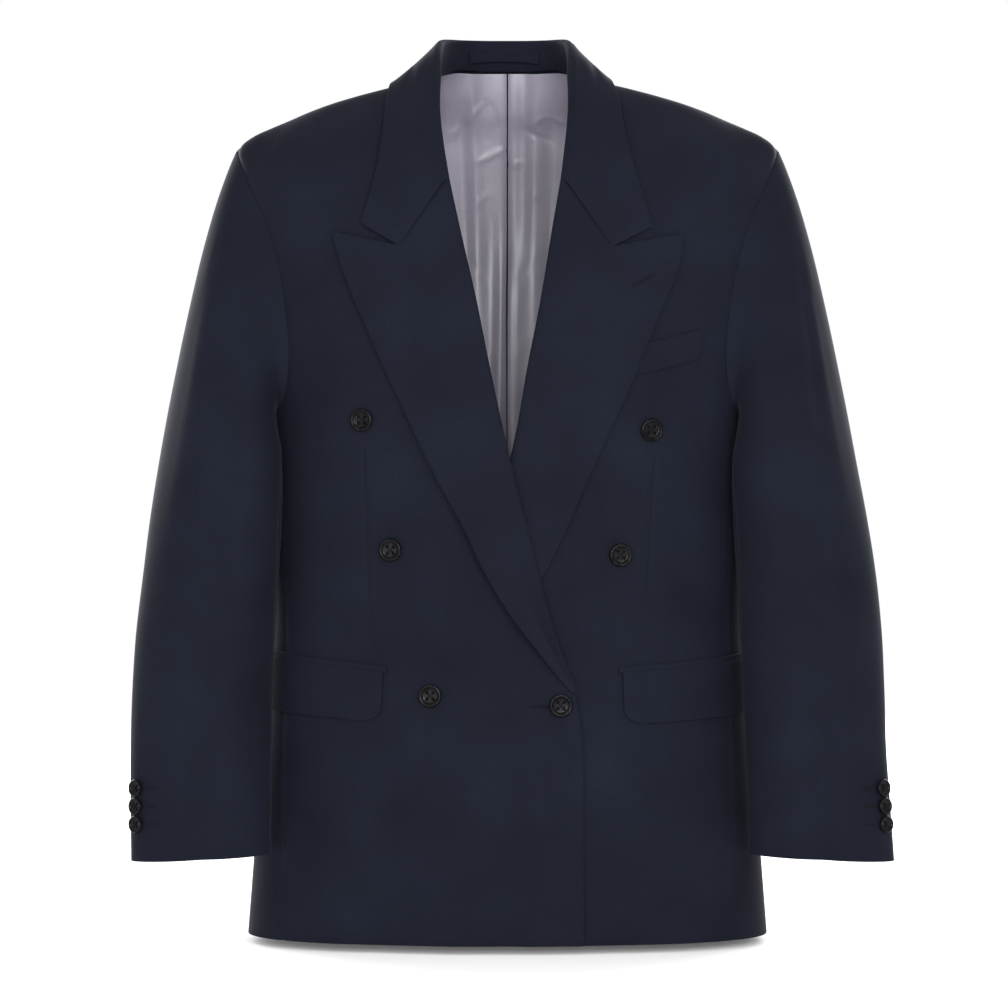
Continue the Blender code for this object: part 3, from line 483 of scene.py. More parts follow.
def turned_over(inner, fold, edge_path, away, up, lie, side, stand=False):
    """Section of a collar or lapel: up inside the edge, round the fold, out to its edge."""
    radius = COLLAR_RADIUS if stand else FOLD_RADIUS
    centre = fold - up * radius
    inside, outside = centre - away * radius, centre + away * radius
    rise = np.linspace(0, 1, RISE_CUTS, endpoint=False)[:, None]
    bend = np.linspace(0, math.pi, BEND_CUTS)[:, None]
    path = np.array([outside] + list(edge_path))
    share = np.linspace(0, 1, FALL_CUTS + 1)[1:]
    corners = np.linspace(0, 1, len(path))
    fall = np.stack([np.interp(share, corners, path[:, k]) for k in range(3)], -1)
    return np.concatenate([inner + (inside - inner) * rise,
                           centre - away * radius * np.cos(bend) + up * radius * np.sin(bend),
                           clear(fall, lie(share), side)])


def roll_section(side, height, edge_points, lie, stand=False):
    """Section of a lapel, or of the collar where it lies on a front."""
    roll, edge, mid = roll_line[side](height), front_edge(side, height), WALL / 2
    inner = on_front(side, edge + RETURN, height, COLLAR_BEHIND if stand else -LAY - mid)
    fold = on_front(side, roll + mid, height, mid)
    up = unit(fold - on_front(side, roll + 20, height, mid))
    out = on_front(side, roll, height, mid + 1) - on_front(side, roll, height, mid)
    away = unit(out - up * out.dot(up))
    path = [on_front(side, across, z, lie(1.0)) for across, z in edge_points]
    return turned_over(inner, fold, path, away, up, lie, side, stand)


def lapel_lie(side, height):
    """How high a lapel's middle stands off the body: it floats a little at its edge."""
    float_up = LAPEL_FLOAT * ramp(height, -330, -270)
    curl = LAPEL_CURL[side] * ramp(height, -240, -380) * ramp(height, -549, -499)
    return lambda share: WALL * 1.5 + LAPEL_LAY + float_up * share + curl * share**2


def lapel_rows(side):
    """A lapel, from the gorge down to the end of the roll line."""
    start = GORGE_TOP - GORGE_GAP
    notch, peak = NOTCH[side], PEAK[side]
    top = [(notch[0], notch[1] - GORGE_GAP), peak]
    rows = [roll_section(side, start, top, lapel_lie(side, start))]
    roll = roll_line[side](start)
    bend = notch[0] - (roll + peak[0]) / 2, notch[1] - (start + peak[1]) / 2
    for i, row in enumerate(LAPEL, start=1):
        edge = row[1:3] if side < 0 else row[3:5]
        sag = LAPEL_SAG[i] if i < len(LAPEL_SAG) else 0.0
        roll = roll_line[side](row[0])
        middle = (roll + edge[0]) / 2 + bend[0] * sag, (row[0] + edge[1]) / 2 + bend[1] * sag
        rows.append(roll_section(side, row[0], [middle, edge], lapel_lie(side, row[0])))
    return np.array(rows)


def collar_lie(share):
    """How high the collar's middle stands off the fronts, down to the gorge."""
    return WALL * 1.5 + LAY + 2.6 + 0.8 * share


def neck_lie(depth):
    """The same round the neck: closer over the shoulders, and looser behind them."""
    slack = 1.2 + BEHIND_SLACK * ramp(depth, -5, 25)
    return lambda share: WALL * 1.5 + LAY + slack + 0.6 * share


def collar_half(side):
    """The collar's sections from the centre back to the gorge."""
    sections = []
    for turn, height, fx, fy, fz, right_edge, left_edge, ey, ez in COLLAR_NECK:
        if height is None:
            height = neckline_height(turn)
        else:
            turn = turn_at(front_edge(side, height), height)
        seam = on_body(turn, height)
        away = (on_body(turn, height, 1) - seam) * (1, 1, 0)
        inner = mirrored(seam + unit(away) * COLLAR_BEHIND - (0, 0, STAND_BELOW), side)
        fold = np.array([side * fx * FOLD_SHARE[side], fy, fz], float)
        edge = np.array([side * (right_edge if side < 0 else left_edge), ey, ez], float)
        lie = neck_lie(fy)
        edge = clear(edge, lie(1.0))
        up = unit(fold - (inner + edge) / 2)
        out = edge - inner
        away = unit(out - up * out.dot(up))
        sections.append(turned_over(inner, fold, [edge], away, up, lie, 0, True))
    for height, right_edge, left_edge, edge_height in COLLAR_FRONT:
        edge = (right_edge if side < 0 else left_edge, edge_height)
        sections.append(roll_section(side, height, [edge], collar_lie, True))
    notch, corner = NOTCH[side], COLLAR_CORNER[side]
    last = [(notch[0], notch[1] + 2 * GORGE_GAP), corner]
    sections.append(roll_section(side, GORGE_TOP + GORGE_GAP, last, collar_lie, True))
    return sections


def collar_rows():
    """The whole collar, from the right gorge round the neck to the left one."""
    return np.array(list(reversed(collar_half(-1))) + collar_half(1)[1:])


def arm_centre(side, height):
    """Centre, half width, half depth and lean of the sleeve's ring at a height."""
    columns = (1, 2, 5, 6, 7) if side < 0 else (3, 4, 5, 6, 7)
    outer, inner, centre_depth, depth, lean = (line(SLEEVE, k)(height) for k in columns)
    half = np.sqrt(np.maximum(100.0, ((outer - inner) / 2) ** 2 - (lean * depth) ** 2))
    return (outer + inner) / 2, centre_depth, half, depth, lean


def sleeve_ring(side, height, angle):
    """Points of a hanging sleeve ring: 0 is its outer side, 90 its front, 180 its inner side."""
    angle = np.asarray(angle, float)
    across, centre_depth, half, depth, lean = arm_centre(side, height)
    cosine, sine = np.cos(np.radians(angle)), np.sin(np.radians(angle))
    fold = SLEEVE_FOLD_DEPTH * np.exp(-(((angle - 88) / 15) ** 2))
    drop = CUFF_DROP * cosine * ramp(height, -575, -694)
    point = np.stack([across + half * cosine - lean * depth * sine,
                      centre_depth - (depth - fold) * sine, height - drop], -1)
    needed = POCKET_CLEARANCE if -640 < height < -480 else BODY_CLEARANCE
    return mirrored(clear(point, WALL + needed), side)


def cap_leave(angles, normal):
    """The way a sleeve leaves the armhole's edge: hanging at its top, sideways under it."""
    lateral = np.array([1.0, 0, 0])
    lateral = unit(lateral - normal * (normal @ lateral)[:, None] * 0.6)
    under = smooth_step((-np.cos(np.radians(angles)) - 0.2) / 0.7)[:, None]
    leave = lateral * (0.52 + 0.3 * under) + normal * 0.3 + np.array([0, 0, -0.62]) * (1 - under)
    hanging = normal * (0, 0.3, 0) + (CAP_LEAN, 0, -1)
    top = smooth_step(np.cos(np.radians(angles)))[:, None]
    return unit(unit(leave) * (1 - top) + unit(hanging) * top)


def cap_start(edge, normal, leave):
    """The sleeve's own edge, set into the armhole so that its wall clears the body's."""
    tangent = unit(np.roll(edge, -1, 0) - np.roll(edge, 1, 0))
    into_hole = unit(np.cross(normal, tangent))
    into_hole *= np.where(into_hole[:, :1] < 0, -1, 1)
    outward = unit(np.cross(tangent, leave))
    outward *= np.where((outward * normal).sum(-1, keepdims=True) < 0, -1, 1)
    inset = np.maximum(0.0, -(outward * into_hole).sum(-1, keepdims=True))
    return edge + into_hole * (SEAM + WALL * inset + CAP_CLEARANCE)


def sleeve_rows(side):
    """A whole sleeve as rings of points, from the armhole to the cuff."""
    angles = np.array(ARM_ANGLES, float)
    turns, heights = armhole_turn_height(angles)
    edge = on_body(turns, heights)
    normal = unit(on_body(turns, heights, 1) - edge)
    end = sleeve_ring(1, SLEEVE[0][0], angles)
    onward = sleeve_ring(1, SLEEVE[1][0], angles)
    reach = np.linalg.norm(end - edge, axis=-1, keepdims=True)
    leave = cap_leave(angles, normal) * reach * 0.85
    arrive = unit(onward - end) * reach * 0.9
    start = cap_start(edge, normal, leave)
    beside = ((angles > 84) & (angles < 270))[:, None]    # where the sleeve faces the body
    rings = [start]
    for t in CAP_STEPS:
        ring = hermite(start, leave, end, arrive, t)
        near = BODY_CLEARANCE * smooth_step(t / 0.6) + 2 * SEAM
        rings.append(np.where(beside, clear(ring, near + WALL), ring))
    rings = [mirrored(ring, side) for ring in rings]
    for row in SLEEVE:
        twist = SLEEVE_TWIST * ramp(row[0], -350, -600)
        rings.append(sleeve_ring(side, row[0], angles + twist))
    return np.array(rings)


def sleeve_piece(side, first, last):
    """The part of a sleeve between two of its lengthwise seams, going round it."""
    rings = sleeve_rows(side)
    rows = rings[:, [k % rings.shape[1] for k in range(first, last + 1)]]
    for end, beside in ((0, 1), (-1, -2)):
        rows[1:, end] += unit(rows[1:, beside] - rows[1:, end]) * SEAM / 2
    return rows


def flap_rows(side, front_across, top_front, top_rear, low_front, low_rear):
    """A pocket flap: straight on top, rounded at its lower corners."""
    share = np.array([0.0, 0.012, 0.03, 0.06, 0.12, 0.3, 0.5, 0.7, 0.88, 0.94, 0.97, 0.988, 1.0])
    corner = 12.0
    start = turn_at(front_across, top_front)
    turn = start + (POCKET_REAR - start) * share
    top = top_front + (top_rear - top_front) * share
    low = low_front + (low_rear - low_front) * share
    reach = np.minimum(1.0, np.minimum(share, 1 - share) * 110 / corner)
    low = low + corner * (1 - np.sqrt(1 - (1 - reach) ** 2))
    rows = [on_body(turn, top + (low - top) * down, WALL + 2 * LAY)
            for down in (0.0, 0.35, 0.7, 0.87, 1.0)]
    return mirrored(np.array(rows), side)


def jet_rows(side, front_across, top_front, top_rear):
    """The jetted edge just above a flap, which runs a little past its front end."""
    start = turn_at(front_across, top_front)
    share = np.linspace(-0.02, 1.0, 8)
    rows = []
    for rise in (JET_WIDTH + SEAM, JET_WIDTH / 2 + SEAM, SEAM):
        height = top_front + (top_rear - top_front) * share + rise
        rows.append(on_body(start + (POCKET_REAR - start) * share, height, WALL + LAY))
    return mirrored(np.array(rows), side)


def welt_rows():
    """The breast pocket's welt, on the left front."""
    first, last = turn_at(WELT_ACROSS[0], WELT_TOP[0]), turn_at(WELT_ACROSS[1], WELT_TOP[1])
    share = np.linspace(0, 1, 5)
    top = WELT_TOP[0] + (WELT_TOP[1] - WELT_TOP[0]) * share
    return np.array([on_body(first + (last - first) * share, top - drop, WALL + LAY)
                     for drop in np.linspace(0, WELT_DEPTH, 4)])


def hanger_loop_rows():
    """The hanging loop, a band that stands off the collar's inside at its middle."""
    share = np.linspace(-1, 1, 13)
    across, bow = -3 + 31 * share, 1 - share**2
    top, low = 25 - 1.5 * bow, 15 + 3 * bow
    depth = 71.6 - 0.0084 * across**2 - 1.4 * bow
    return np.array([np.stack([across, depth, top + (low - top) * drop], -1)
                     for drop in (0.0, 0.5, 1.0)])


def fold_rise(u, v, folds):
    """Rise of the cloth at u, v from soft folds along straight runs, fading at their ends."""
    rise = np.zeros_like(u)
    for u0, v0, u1, v1, width, height in folds:
        run = np.array([u1 - u0, v1 - v0], float)
        length = np.linalg.norm(run)
        run /= length
        along = (u - u0) * run[0] + (v - v0) * run[1]
        aside = (u - u0) * run[1] - (v - v0) * run[0]
        aside = aside + 0.12 * width * np.sin(along / length * 5 + u0)
        fade = smooth_step(along / length / 0.3) * smooth_step((length - along) / length / 0.3)
        if v1 <= HEM + 5 or v1 <= SLEEVE[-1][0]:
            fade = smooth_step(along / length / 0.4)
        rise += height * fade * np.exp(-((aside / width) ** 2))
    return rise


def drape_body(points):
    """Fold the body's cloth and everything that lies on it, all by the same amount."""
    x, y, z = points[..., 0], points[..., 1], points[..., 2]
    front = fold_rise(x, z, FRONT_FOLDS) * ramp(y, 0, -45)
    back = fold_rise(x, z, BACK_FOLDS) * ramp(y, 0, 45)
    keep = ramp(abs(x), 225, 195)
    return points + off_body(points)[1] * ((front + back) * keep)[..., None]


def wrinkle_lining(points):
    """Wrinkles of the lining, which hangs loose inside the back."""
    rise = fold_rise(points[..., 0], points[..., 2], LINING_FOLDS)
    rise = np.where(rise < 0, LINING_SINK * np.tanh(rise / LINING_SINK), rise)
    return points - off_body(points)[1] * rise[..., None]


def drape_sleeve(side):
    """Returns the function that folds a sleeve's cloth and the buttons on it."""
    girth = np.radians(1.0) * SLEEVE_GIRTH_RADIUS
    folds = [(a0 * girth, v0, a1 * girth, v1, width, rise)
             for a0, v0, a1, v1, width, rise in SLEEVE_FOLDS[side]]

    def drape(points):
        z = np.clip(points[..., 2], SLEEVE[-1][0], SLEEVE[0][0])
        across, centre_depth, half, depth, _ = arm_centre(side, z)
        away = np.stack([side * points[..., 0] - across, points[..., 1] - centre_depth], -1)
        angle = np.degrees(np.arctan2(-away[..., 1] / depth, away[..., 0] / half)) % 360
        rise = fold_rise(angle * girth, points[..., 2], folds)
        rise = rise * ramp(points[..., 2], ARMHOLE_TOP - 10, ARMHOLE_TOP - 50)
        inner = smooth_step((np.cos(np.radians(angle)) + 0.75) / 0.4)
        rise = np.where(rise > 0, rise * (0.25 + 0.75 * inner), rise * (0.1 + 0.9 * inner))
        direction = unit(away) * np.array([side, 1.0])
        return points + np.concatenate([direction * rise[..., None], rise[..., None] * 0], -1)

    return drape


def through(points, cuts):
    """Smooth lines through points, along the first axis, cut this often between each pair."""
    step = np.linalg.norm(np.diff(points, axis=0), axis=-1, keepdims=True) + 1e-6
    slope = np.diff(points, axis=0) / step
    tangent = np.empty_like(points)
    tangent[1:-1] = (slope[:-1] * step[1:] + slope[1:] * step[:-1]) / (step[:-1] + step[1:])
    tangent[0] = slope[0] * 1.5 - tangent[1] * 0.5 if len(points) > 2 else slope[0]
    tangent[-1] = slope[-1] * 1.5 - tangent[-2] * 0.5 if len(points) > 2 else slope[-1]
    t = (np.arange(cuts) / cuts).reshape((1, cuts) + (1,) * (points.ndim - 1))
    start, end = points[:-1, None], points[1:, None]
    leave, arrive = (tangent[:-1] * step)[:, None], (tangent[1:] * step)[:, None]
    inner = hermite(start, leave, end, arrive, t)
    return np.concatenate([inner.reshape((-1,) + points.shape[1:]), points[-1:]])


def refine(rows, down, across):
    """A finer grid through the rows' points."""
    fine = through(rows, down)
    return np.swapaxes(through(np.swapaxes(fine, 0, 1), across), 0, 1)


def grid_normals(grid):
    """Unit normal of a grid of points at each of them."""
    return unit(np.cross(np.gradient(grid, axis=0), np.gradient(grid, axis=1)))


def calm(grid, first_column, times):
    """Ease small ripples out of a grid, from a column on; its edges stay."""
    grid = grid.copy()
    for _ in range(times):
        around = (grid[:-2, 1:-1] + grid[2:, 1:-1] + grid[1:-1, :-2] + grid[1:-1, 2:]) / 4
        eased = (grid[1:-1, 1:-1] + around) / 2
        grid[1:-1, first_column:-1] = eased[:, first_column - 1:]
    return grid


def sink_edges(grid, edges, depth, reach):
    """Let the cloth dip softly along its top, first or last edge, where it is sewn on."""
    dip = np.zeros(grid.shape[:2])
    for edge in edges:
        axis = 0 if edge == "top" else 1
        step = np.linalg.norm(np.diff(grid, axis=axis), axis=-1)
        start = np.zeros_like(np.take(step, [0], axis))
        far = np.concatenate([start, np.cumsum(step, axis)], axis)
        if edge == "last":
            far = np.take(far, [-1], axis) - far
        dip = np.maximum(dip, np.exp(-((far / reach) ** 2)))
    return grid - grid_normals(grid) * (dip * depth)[..., None]


def add_piece(name, points, faces, material, slot):
    """A closed mesh in metres that rides on the body, in the given finish."""
    mesh = bpy.data.meshes.new(name)
    mesh.from_pydata((np.asarray(points) * MM).tolist(), [], faces)
    mesh.polygons.foreach_set("use_smooth", [True] * len(mesh.polygons))
    mesh.materials.append(material)
    made = bpy.data.objects.new(name, mesh)
    bpy.context.scene.collection.objects.link(made)
    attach(made, "root")
    return made


def wall_mesh(grid, normal, wall):
    """Points and faces of a wall about a grid through its middle, with rounded edges."""
    rows, columns = grid.shape[:2]
    index = np.arange(rows * columns).reshape(rows, columns)
    loop = np.concatenate([index[:, 0], index[-1, 1:], index[-2::-1, -1], index[0, -2:0:-1]])
    outward = np.zeros_like(grid)
    outward[:, 0] += unit(grid[:, 0] - grid[:, 1])
    outward[:, -1] += unit(grid[:, -1] - grid[:, -2])
    outward[0] += unit(grid[0] - grid[1])
    outward[-1] += unit(grid[-1] - grid[-2])
    flat, flat_normal = grid.reshape(-1, 3), normal.reshape(-1, 3)
    rim, rim_normal = flat[loop], flat_normal[loop]
    rim_out = unit(outward.reshape(-1, 3)[loop])
    half = wall / 2
    layers = [flat + flat_normal * half, flat - flat_normal * half]
    for angle in (45, 0, -45):
        lift, bulge = half * math.sin(math.radians(angle)), half * math.cos(math.radians(angle))
        layers.append(rim + rim_normal * lift + rim_out * bulge * 0.7)
    a, b, c, d = (index[:-1, :-1], index[1:, :-1], index[1:, 1:], index[:-1, 1:])
    face = np.stack([a, b, c, d], -1).reshape(-1, 4)
    count = rows * columns
    faces = [face, face[:, ::-1] + count]
    rings = [loop] + [2 * count + k * len(loop) + np.arange(len(loop)) for k in range(3)]
    rings.append(loop + count)
    for upper, lower in zip(rings, rings[1:]):
        faces.append(np.stack([upper, lower, np.roll(lower, -1), np.roll(upper, -1)], -1))
    return np.concatenate(layers), np.concatenate(faces).tolist()


def cloth(name, grid, material, slot, wall=WALL, middle=False, centre=(0.0, 0.0), edges=(),
          dip=0.55, reach=3.6):
    """A piece of cloth through a grid of points: its inner face, or the middle of its wall.

    The wall grows away from the upright line at centre. Its sewn edges dip a little.
    """
    away = grid[..., :2] - np.array(centre)
    if (grid_normals(grid)[..., :2] * away).sum() < 0 and not middle:
        grid = grid[:, ::-1]
        swap = {"first": "last", "last": "first"}
        edges = [swap.get(edge, edge) for edge in edges]
    grid = sink_edges(grid, edges, dip, reach)
    normal = grid_normals(grid)
    if not middle:
        grid = grid + normal * wall / 2
    return add_piece(name, *wall_mesh(grid, normal, wall), material, slot)


def linear(hex_colour):
    """An sRGB hex colour as linear red, green, blue and alpha."""
    parts = [int(hex_colour[i:i + 2], 16) / 255 for i in (1, 3, 5)]
    return [p / 12.92 if p <= 0.04045 else ((p + 0.055) / 1.055) ** 2.4 for p in parts] + [1.0]


def node(tree, kind, settings=None, inputs=None):
    """Add a node with its settings and its inputs' values or links."""
    made = tree.nodes.new("ShaderNode" + kind)
    for key, value in (settings or {}).items():
        setattr(made, key, value)
    for key, value in (inputs or {}).items():
        if isinstance(value, bpy.types.NodeSocket):
            tree.links.new(value, made.inputs[key])
        else:
            made.inputs[key].default_value = value
    return made


def finish(name, **shader_values):
    """A new material's tree and its principled shader, with even values set on it."""
    material = bpy.data.materials.new(name)
    material.use_nodes = True
    tree = material.node_tree
    shader = tree.nodes["Principled BSDF"]
    for key, value in shader_values.items():
        shader.inputs[key.replace("_", " ")].default_value = value
    return material, tree, shader


def show(tree, shader, shade, colours, height=None, strength=0.0, depth=0.0):
    """Colour a finish between two hex colours by its shade, and give it relief by a height,
    of a depth in millimetres."""
    low, high = colours
    mix = node(tree, "Mix", {"data_type": "RGBA"}, {0: shade, 6: linear(low), 7: linear(high)})
    tree.links.new(mix.outputs[2], shader.inputs["Base Color"])
    if height is not None:
        bump = node(tree, "Bump", {}, {"Height": height, "Strength": strength,
                                       "Distance": depth * MM})
        tree.links.new(bump.outputs[0], shader.inputs["Normal"])


def bands_for(spacing):
    """Scale of a wave texture whose bands are this many millimetres apart."""
    return 2 * math.pi / (20 * spacing * MM)


WALE = 2.0          # twill line spacing; real worsted is 0.6, too fine to show from here
WALE_SLANT = 38.0
FIBRE = 1.3         # size of the mottle that mixed fibres give
THREAD_TURN = 0.8   # spacing of a sewing thread's turns


def worsted_wool():
    """Worsted wool twill, pressed: a dark navy with faint slanting lines, a soft mixed
    mottle and a light bloom of fibres where it turns away."""
    material, tree, shader = finish("navy_worsted_twill", Roughness=0.8, Sheen_Weight=0.035,
                                    Sheen_Roughness=0.45, Sheen_Tint=linear("#C9CEDF"),
                                    Specular_IOR_Level=0.05)
    place = node(tree, "TexCoord").outputs["Object"]
    slant = node(tree, "Mapping", {}, {"Vector": place,
                                       "Rotation": (0, math.radians(WALE_SLANT), 0)})
    twill = node(tree, "TexWave", {"wave_type": "BANDS", "bands_direction": "X"},
                 {"Vector": slant.outputs[0], "Scale": bands_for(WALE), "Distortion": 0.6,
                  "Detail": 1.0})
    mottle = node(tree, "TexNoise", {}, {"Vector": place, "Scale": 1 / (FIBRE * MM),
                                         "Detail": 3.0})
    drift = node(tree, "TexNoise", {}, {"Vector": place, "Scale": 14.0, "Detail": 2.0})
    grain = node(tree, "Math", {"operation": "MULTIPLY_ADD"},
                 {0: mottle.outputs[0], 1: 0.55, 2: drift.outputs[0]})
    shade = node(tree, "MapRange", {}, {"Value": grain.outputs[0], "From Min": 0.45,
                                        "From Max": 1.1})
    relief = node(tree, "Math", {"operation": "MULTIPLY_ADD"},
                  {0: twill.outputs["Fac"], 1: 0.6, 2: mottle.outputs[0]})
    show(tree, shader, shade.outputs[0], ("#0D0F17", "#141721"), relief.outputs[0], 0.22, 0.4)
    return material


def satin_lining():
    """Woven acetate satin: a mauve grey with a soft gloss and fine upright threads."""
    material, tree, shader = finish("mauve_grey_satin_lining", Roughness=0.36, Sheen_Weight=0.05,
                                    Specular_IOR_Level=0.45)
    place = node(tree, "TexCoord").outputs["Object"]
    upright = node(tree, "Mapping", {}, {"Vector": place, "Scale": (900, 900, 30)})
    threads = node(tree, "TexNoise", {}, {"Vector": upright.outputs[0], "Scale": 1.0,
                                          "Detail": 3.0})
    drift = node(tree, "TexNoise", {}, {"Vector": place, "Scale": 18.0, "Detail": 2.0})
    shade = node(tree, "Math", {"operation": "MULTIPLY_ADD"},
                 {0: threads.outputs[0], 1: 0.5, 2: drift.outputs[0]})
    show(tree, shader, shade.outputs[0], ("#706C79", "#8A8693"), threads.outputs[0], 0.15, 0.2)
    return material


def polished_horn():
    """Turned and polished dark horn: near black to smoky grey clouds under a gloss."""
    material, tree, shader = finish("polished_dark_horn", Roughness=0.22, Specular_IOR_Level=0.08)
    place = node(tree, "TexCoord").outputs["Object"]
    cloud = node(tree, "TexNoise", {}, {"Vector": place, "Scale": 210.0, "Detail": 3.0,
                                        "Distortion": 1.2})
    shade = node(tree, "MapRange", {}, {"Value": cloud.outputs[0], "From Min": 0.38,
                                        "From Max": 0.66})
    show(tree, shader, shade.outputs[0], ("#050506", "#141316"))
    return material


def sewing_thread():
    """Twisted polyester thread: dark navy, with the small sheen of its turns."""
    material, tree, shader = finish("navy_sewing_thread", Roughness=0.6, Sheen_Weight=0.02,
                                    Specular_IOR_Level=0.06)
    place = node(tree, "TexCoord").outputs["Object"]
    turns = node(tree, "TexWave", {"wave_type": "BANDS", "bands_direction": "DIAGONAL"},
                 {"Vector": place, "Scale": bands_for(THREAD_TURN), "Distortion": 1.0})
    turned = turns.outputs["Fac"]
    show(tree, shader, turned, ("#08090D", "#101218"), turned, 0.3, 0.3)
    return material


def seamless_paper():
    """Matt white studio paper, which stays pale right up to the soft shadow under the hem."""
    material, tree, shader = finish("white_studio_paper", Roughness=0.95,
                                    Emission_Color=(1, 1, 1, 1), Emission_Strength=0.09)
    grain = node(tree, "TexNoise", {}, {"Scale": 60.0, "Detail": 2.0})
    show(tree, shader, grain.outputs[0], ("#F4F4F4", "#F8F8F8"))
    return material


def placed(points, foot, along, normal):
    """Local points (along, aside, off) set at a foot point on the cloth."""
    normal = unit(normal)
    along = unit(along - normal * along.dot(normal))
    aside = np.cross(normal, along)
    return foot + points[:, :1] * along + points[:, 1:2] * aside + points[:, 2:] * normal


BUTTON_SEGMENTS = 72
FACE_RINGS = 19
# A button's rim and back, as shares of its radius and of its thickness.
RIM = [
    (0.55, 0.53), (0.63, 0.57), (0.69, 0.68), (0.74, 0.86), (0.79, 0.97), (0.85, 1.0), (0.91, 0.97),
    (0.96, 0.87), (0.99, 0.7), (1.0, 0.5), (0.985, 0.32), (0.93, 0.14), (0.84, 0.03), (0.6, 0.0),
    (0.3, 0.0), (0.02, 0.0),
]
THREAD_RADIUS = 0.42
STITCHES_PER_MM = 2.2
CUTS_PER_STITCH = 4
STITCH_RADIUS = 0.5
DART_RADIUS = 0.34


def button_points(size):
    """Rings of a dished four-hole button, from its face's centre to its back, and a hole's
    place."""
    diameter, thickness = size
    radius = diameter / 2
    hole_at, hole_radius = radius * 0.25, radius * 0.105
    profile = [(r, thickness * (0.5 + 0.1 * (r / radius) ** 2)) for r in
               np.linspace(0.02, 0.46, FACE_RINGS) * radius]
    profile += [(radius * r, thickness * z) for r, z in RIM]
    around = np.arange(BUTTON_SEGMENTS) / BUTTON_SEGMENTS * 2 * math.pi
    r, z = (np.array([row[k] for row in profile])[:, None] for k in (0, 1))
    points = np.stack([r * np.cos(around), r * np.sin(around), z + 0 * around], -1)
    on_face = (np.arange(len(profile)) <= FACE_RINGS)[:, None]
    for k in range(4):
        angle = math.radians(45 + 90 * k)
        centre = np.array([math.cos(angle), math.sin(angle)]) * hole_at * math.sqrt(2)
        away = np.linalg.norm(points[..., :2] - centre, axis=-1)
        sink = smooth_step((hole_radius + 0.25 - away) / 0.35)
        points[..., 2] -= np.where(on_face, sink * thickness * 0.42, 0.0)
    return points, centre


def ring_faces(rings, count):
    """Faces between closed rings of points, with both ends closed."""
    faces = []
    for k in range(rings - 1):
        for i in range(count):
            j = (i + 1) % count
            faces.append((k * count + i, (k + 1) * count + i, (k + 1) * count + j, k * count + j))
    faces.append(tuple(range(count)))
    faces.append(tuple(reversed(range((rings - 1) * count, rings * count))))
    return faces


def tube(path, radii, sides=8):
    """Points and faces of a thread along a path of local points."""
    forward = unit(np.gradient(path, axis=0))
    beside = unit(np.cross(forward, np.array([0, 0, 1.0])))
    up = np.cross(beside, forward)
    around = np.arange(sides) / sides * 2 * math.pi
    ring = (beside[:, None] * np.cos(around)[:, None] + up[:, None] * np.sin(around)[:, None])
    points = path[:, None] + ring * np.asarray(radii)[:, None, None]
    return points.reshape(-1, 3), ring_faces(len(path), sides)


def make_button(name, size, foot, along, normal, horn, thread):
    """A button with the crossed threads through its holes."""
    rings, hole = button_points(size)
    points = placed(rings.reshape(-1, 3), foot, along, normal)
    faces = [face[::-1] for face in ring_faces(len(rings), BUTTON_SEGMENTS)]
    button = add_piece(name, points, faces, horn, "dark_horn")
    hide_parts(name)
    reach, height = abs(hole[0]), size[1] * 0.5
    share = np.linspace(-1, 1, 13)
    rise = height + 0.35 - 1.5 * abs(share) ** 6
    for k, (sx, sy) in enumerate(((1, 1), (1, -1))):
        path = np.stack([reach * sx * share, reach * sy * share, rise + 0.3 * k], -1)
        local, sewn = tube(path, np.full(len(share), THREAD_RADIUS))
        add_piece(f"{name}_thread_{k + 1}", placed(local, foot, along, normal),
                  [face[::-1] for face in sewn], thread, "navy_wool")


def make_buttonhole(name, foot, along, normal, length, thread):
    """A buttonhole worked in close stitches round its slit."""
    count = int(length * STITCHES_PER_MM) * CUTS_PER_STITCH
    half, aside = length / 2, 0.75
    angle = np.linspace(0, 1, count, endpoint=False) * 2 * math.pi
    cosine = np.cos(angle)
    path = np.stack([half * np.sign(cosine) * abs(cosine) ** 0.45, aside * np.sin(angle),
                     0 * angle], -1)
    even = np.concatenate([[0], np.cumsum(np.linalg.norm(np.diff(path, axis=0), axis=-1))])
    ends = np.linspace(0, even[-1], count)
    path = np.stack([np.interp(ends, even, path[:, k]) for k in range(3)], -1)
    turn = np.arange(count) / CUTS_PER_STITCH * 2 * math.pi
    points, faces = tube(path, STITCH_RADIUS * (1 + 0.22 * np.sin(turn)))
    points[:, 2] = points[:, 2] * 0.7 + 0.15
    add_piece(name, placed(points, foot, along, normal), [face[::-1] for face in faces], thread,
              "navy_wool")


def make_front_hole(name, side, across, height, out, way, length, thread):
    """A buttonhole on a front, or on the lapel that lies on it, which runs the given way."""
    foot, above = (drape_body(on_front(side, across, height, out + step)) for step in (0.0, 1.0))
    make_buttonhole(name, foot, np.array(way), above - foot, length, thread)


def make_dart(name, side, top, foot, thread):
    """The closed seam of a dart, a fine line drawn in down the front."""
    share = np.linspace(0, 1, 60)
    across, height = top[0] + (foot[0] - top[0]) * share, top[1] + (foot[1] - top[1]) * share
    path = drape_body(on_front(side, across, height, WALL + 0.05))
    radii = DART_RADIUS * smooth_step(share / 0.1) * smooth_step((1 - share) / 0.3) + 0.02
    points, faces = tube(path, radii)
    add_piece(name, points, faces, thread, "navy_wool")


def make_sheet(solid, cut, held, grid, material, rests_on=(), kind="cloth", slot="navy_wool",
               **form):
    """Make a piece of cloth, named after the solid that it stands for, and hide that solid.
    What it was cut to, how it is held and what it rests on are not used."""
    piece = cloth(f"{solid}_{kind}", grid, material, slot, **form)
    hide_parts(solid)
    return piece


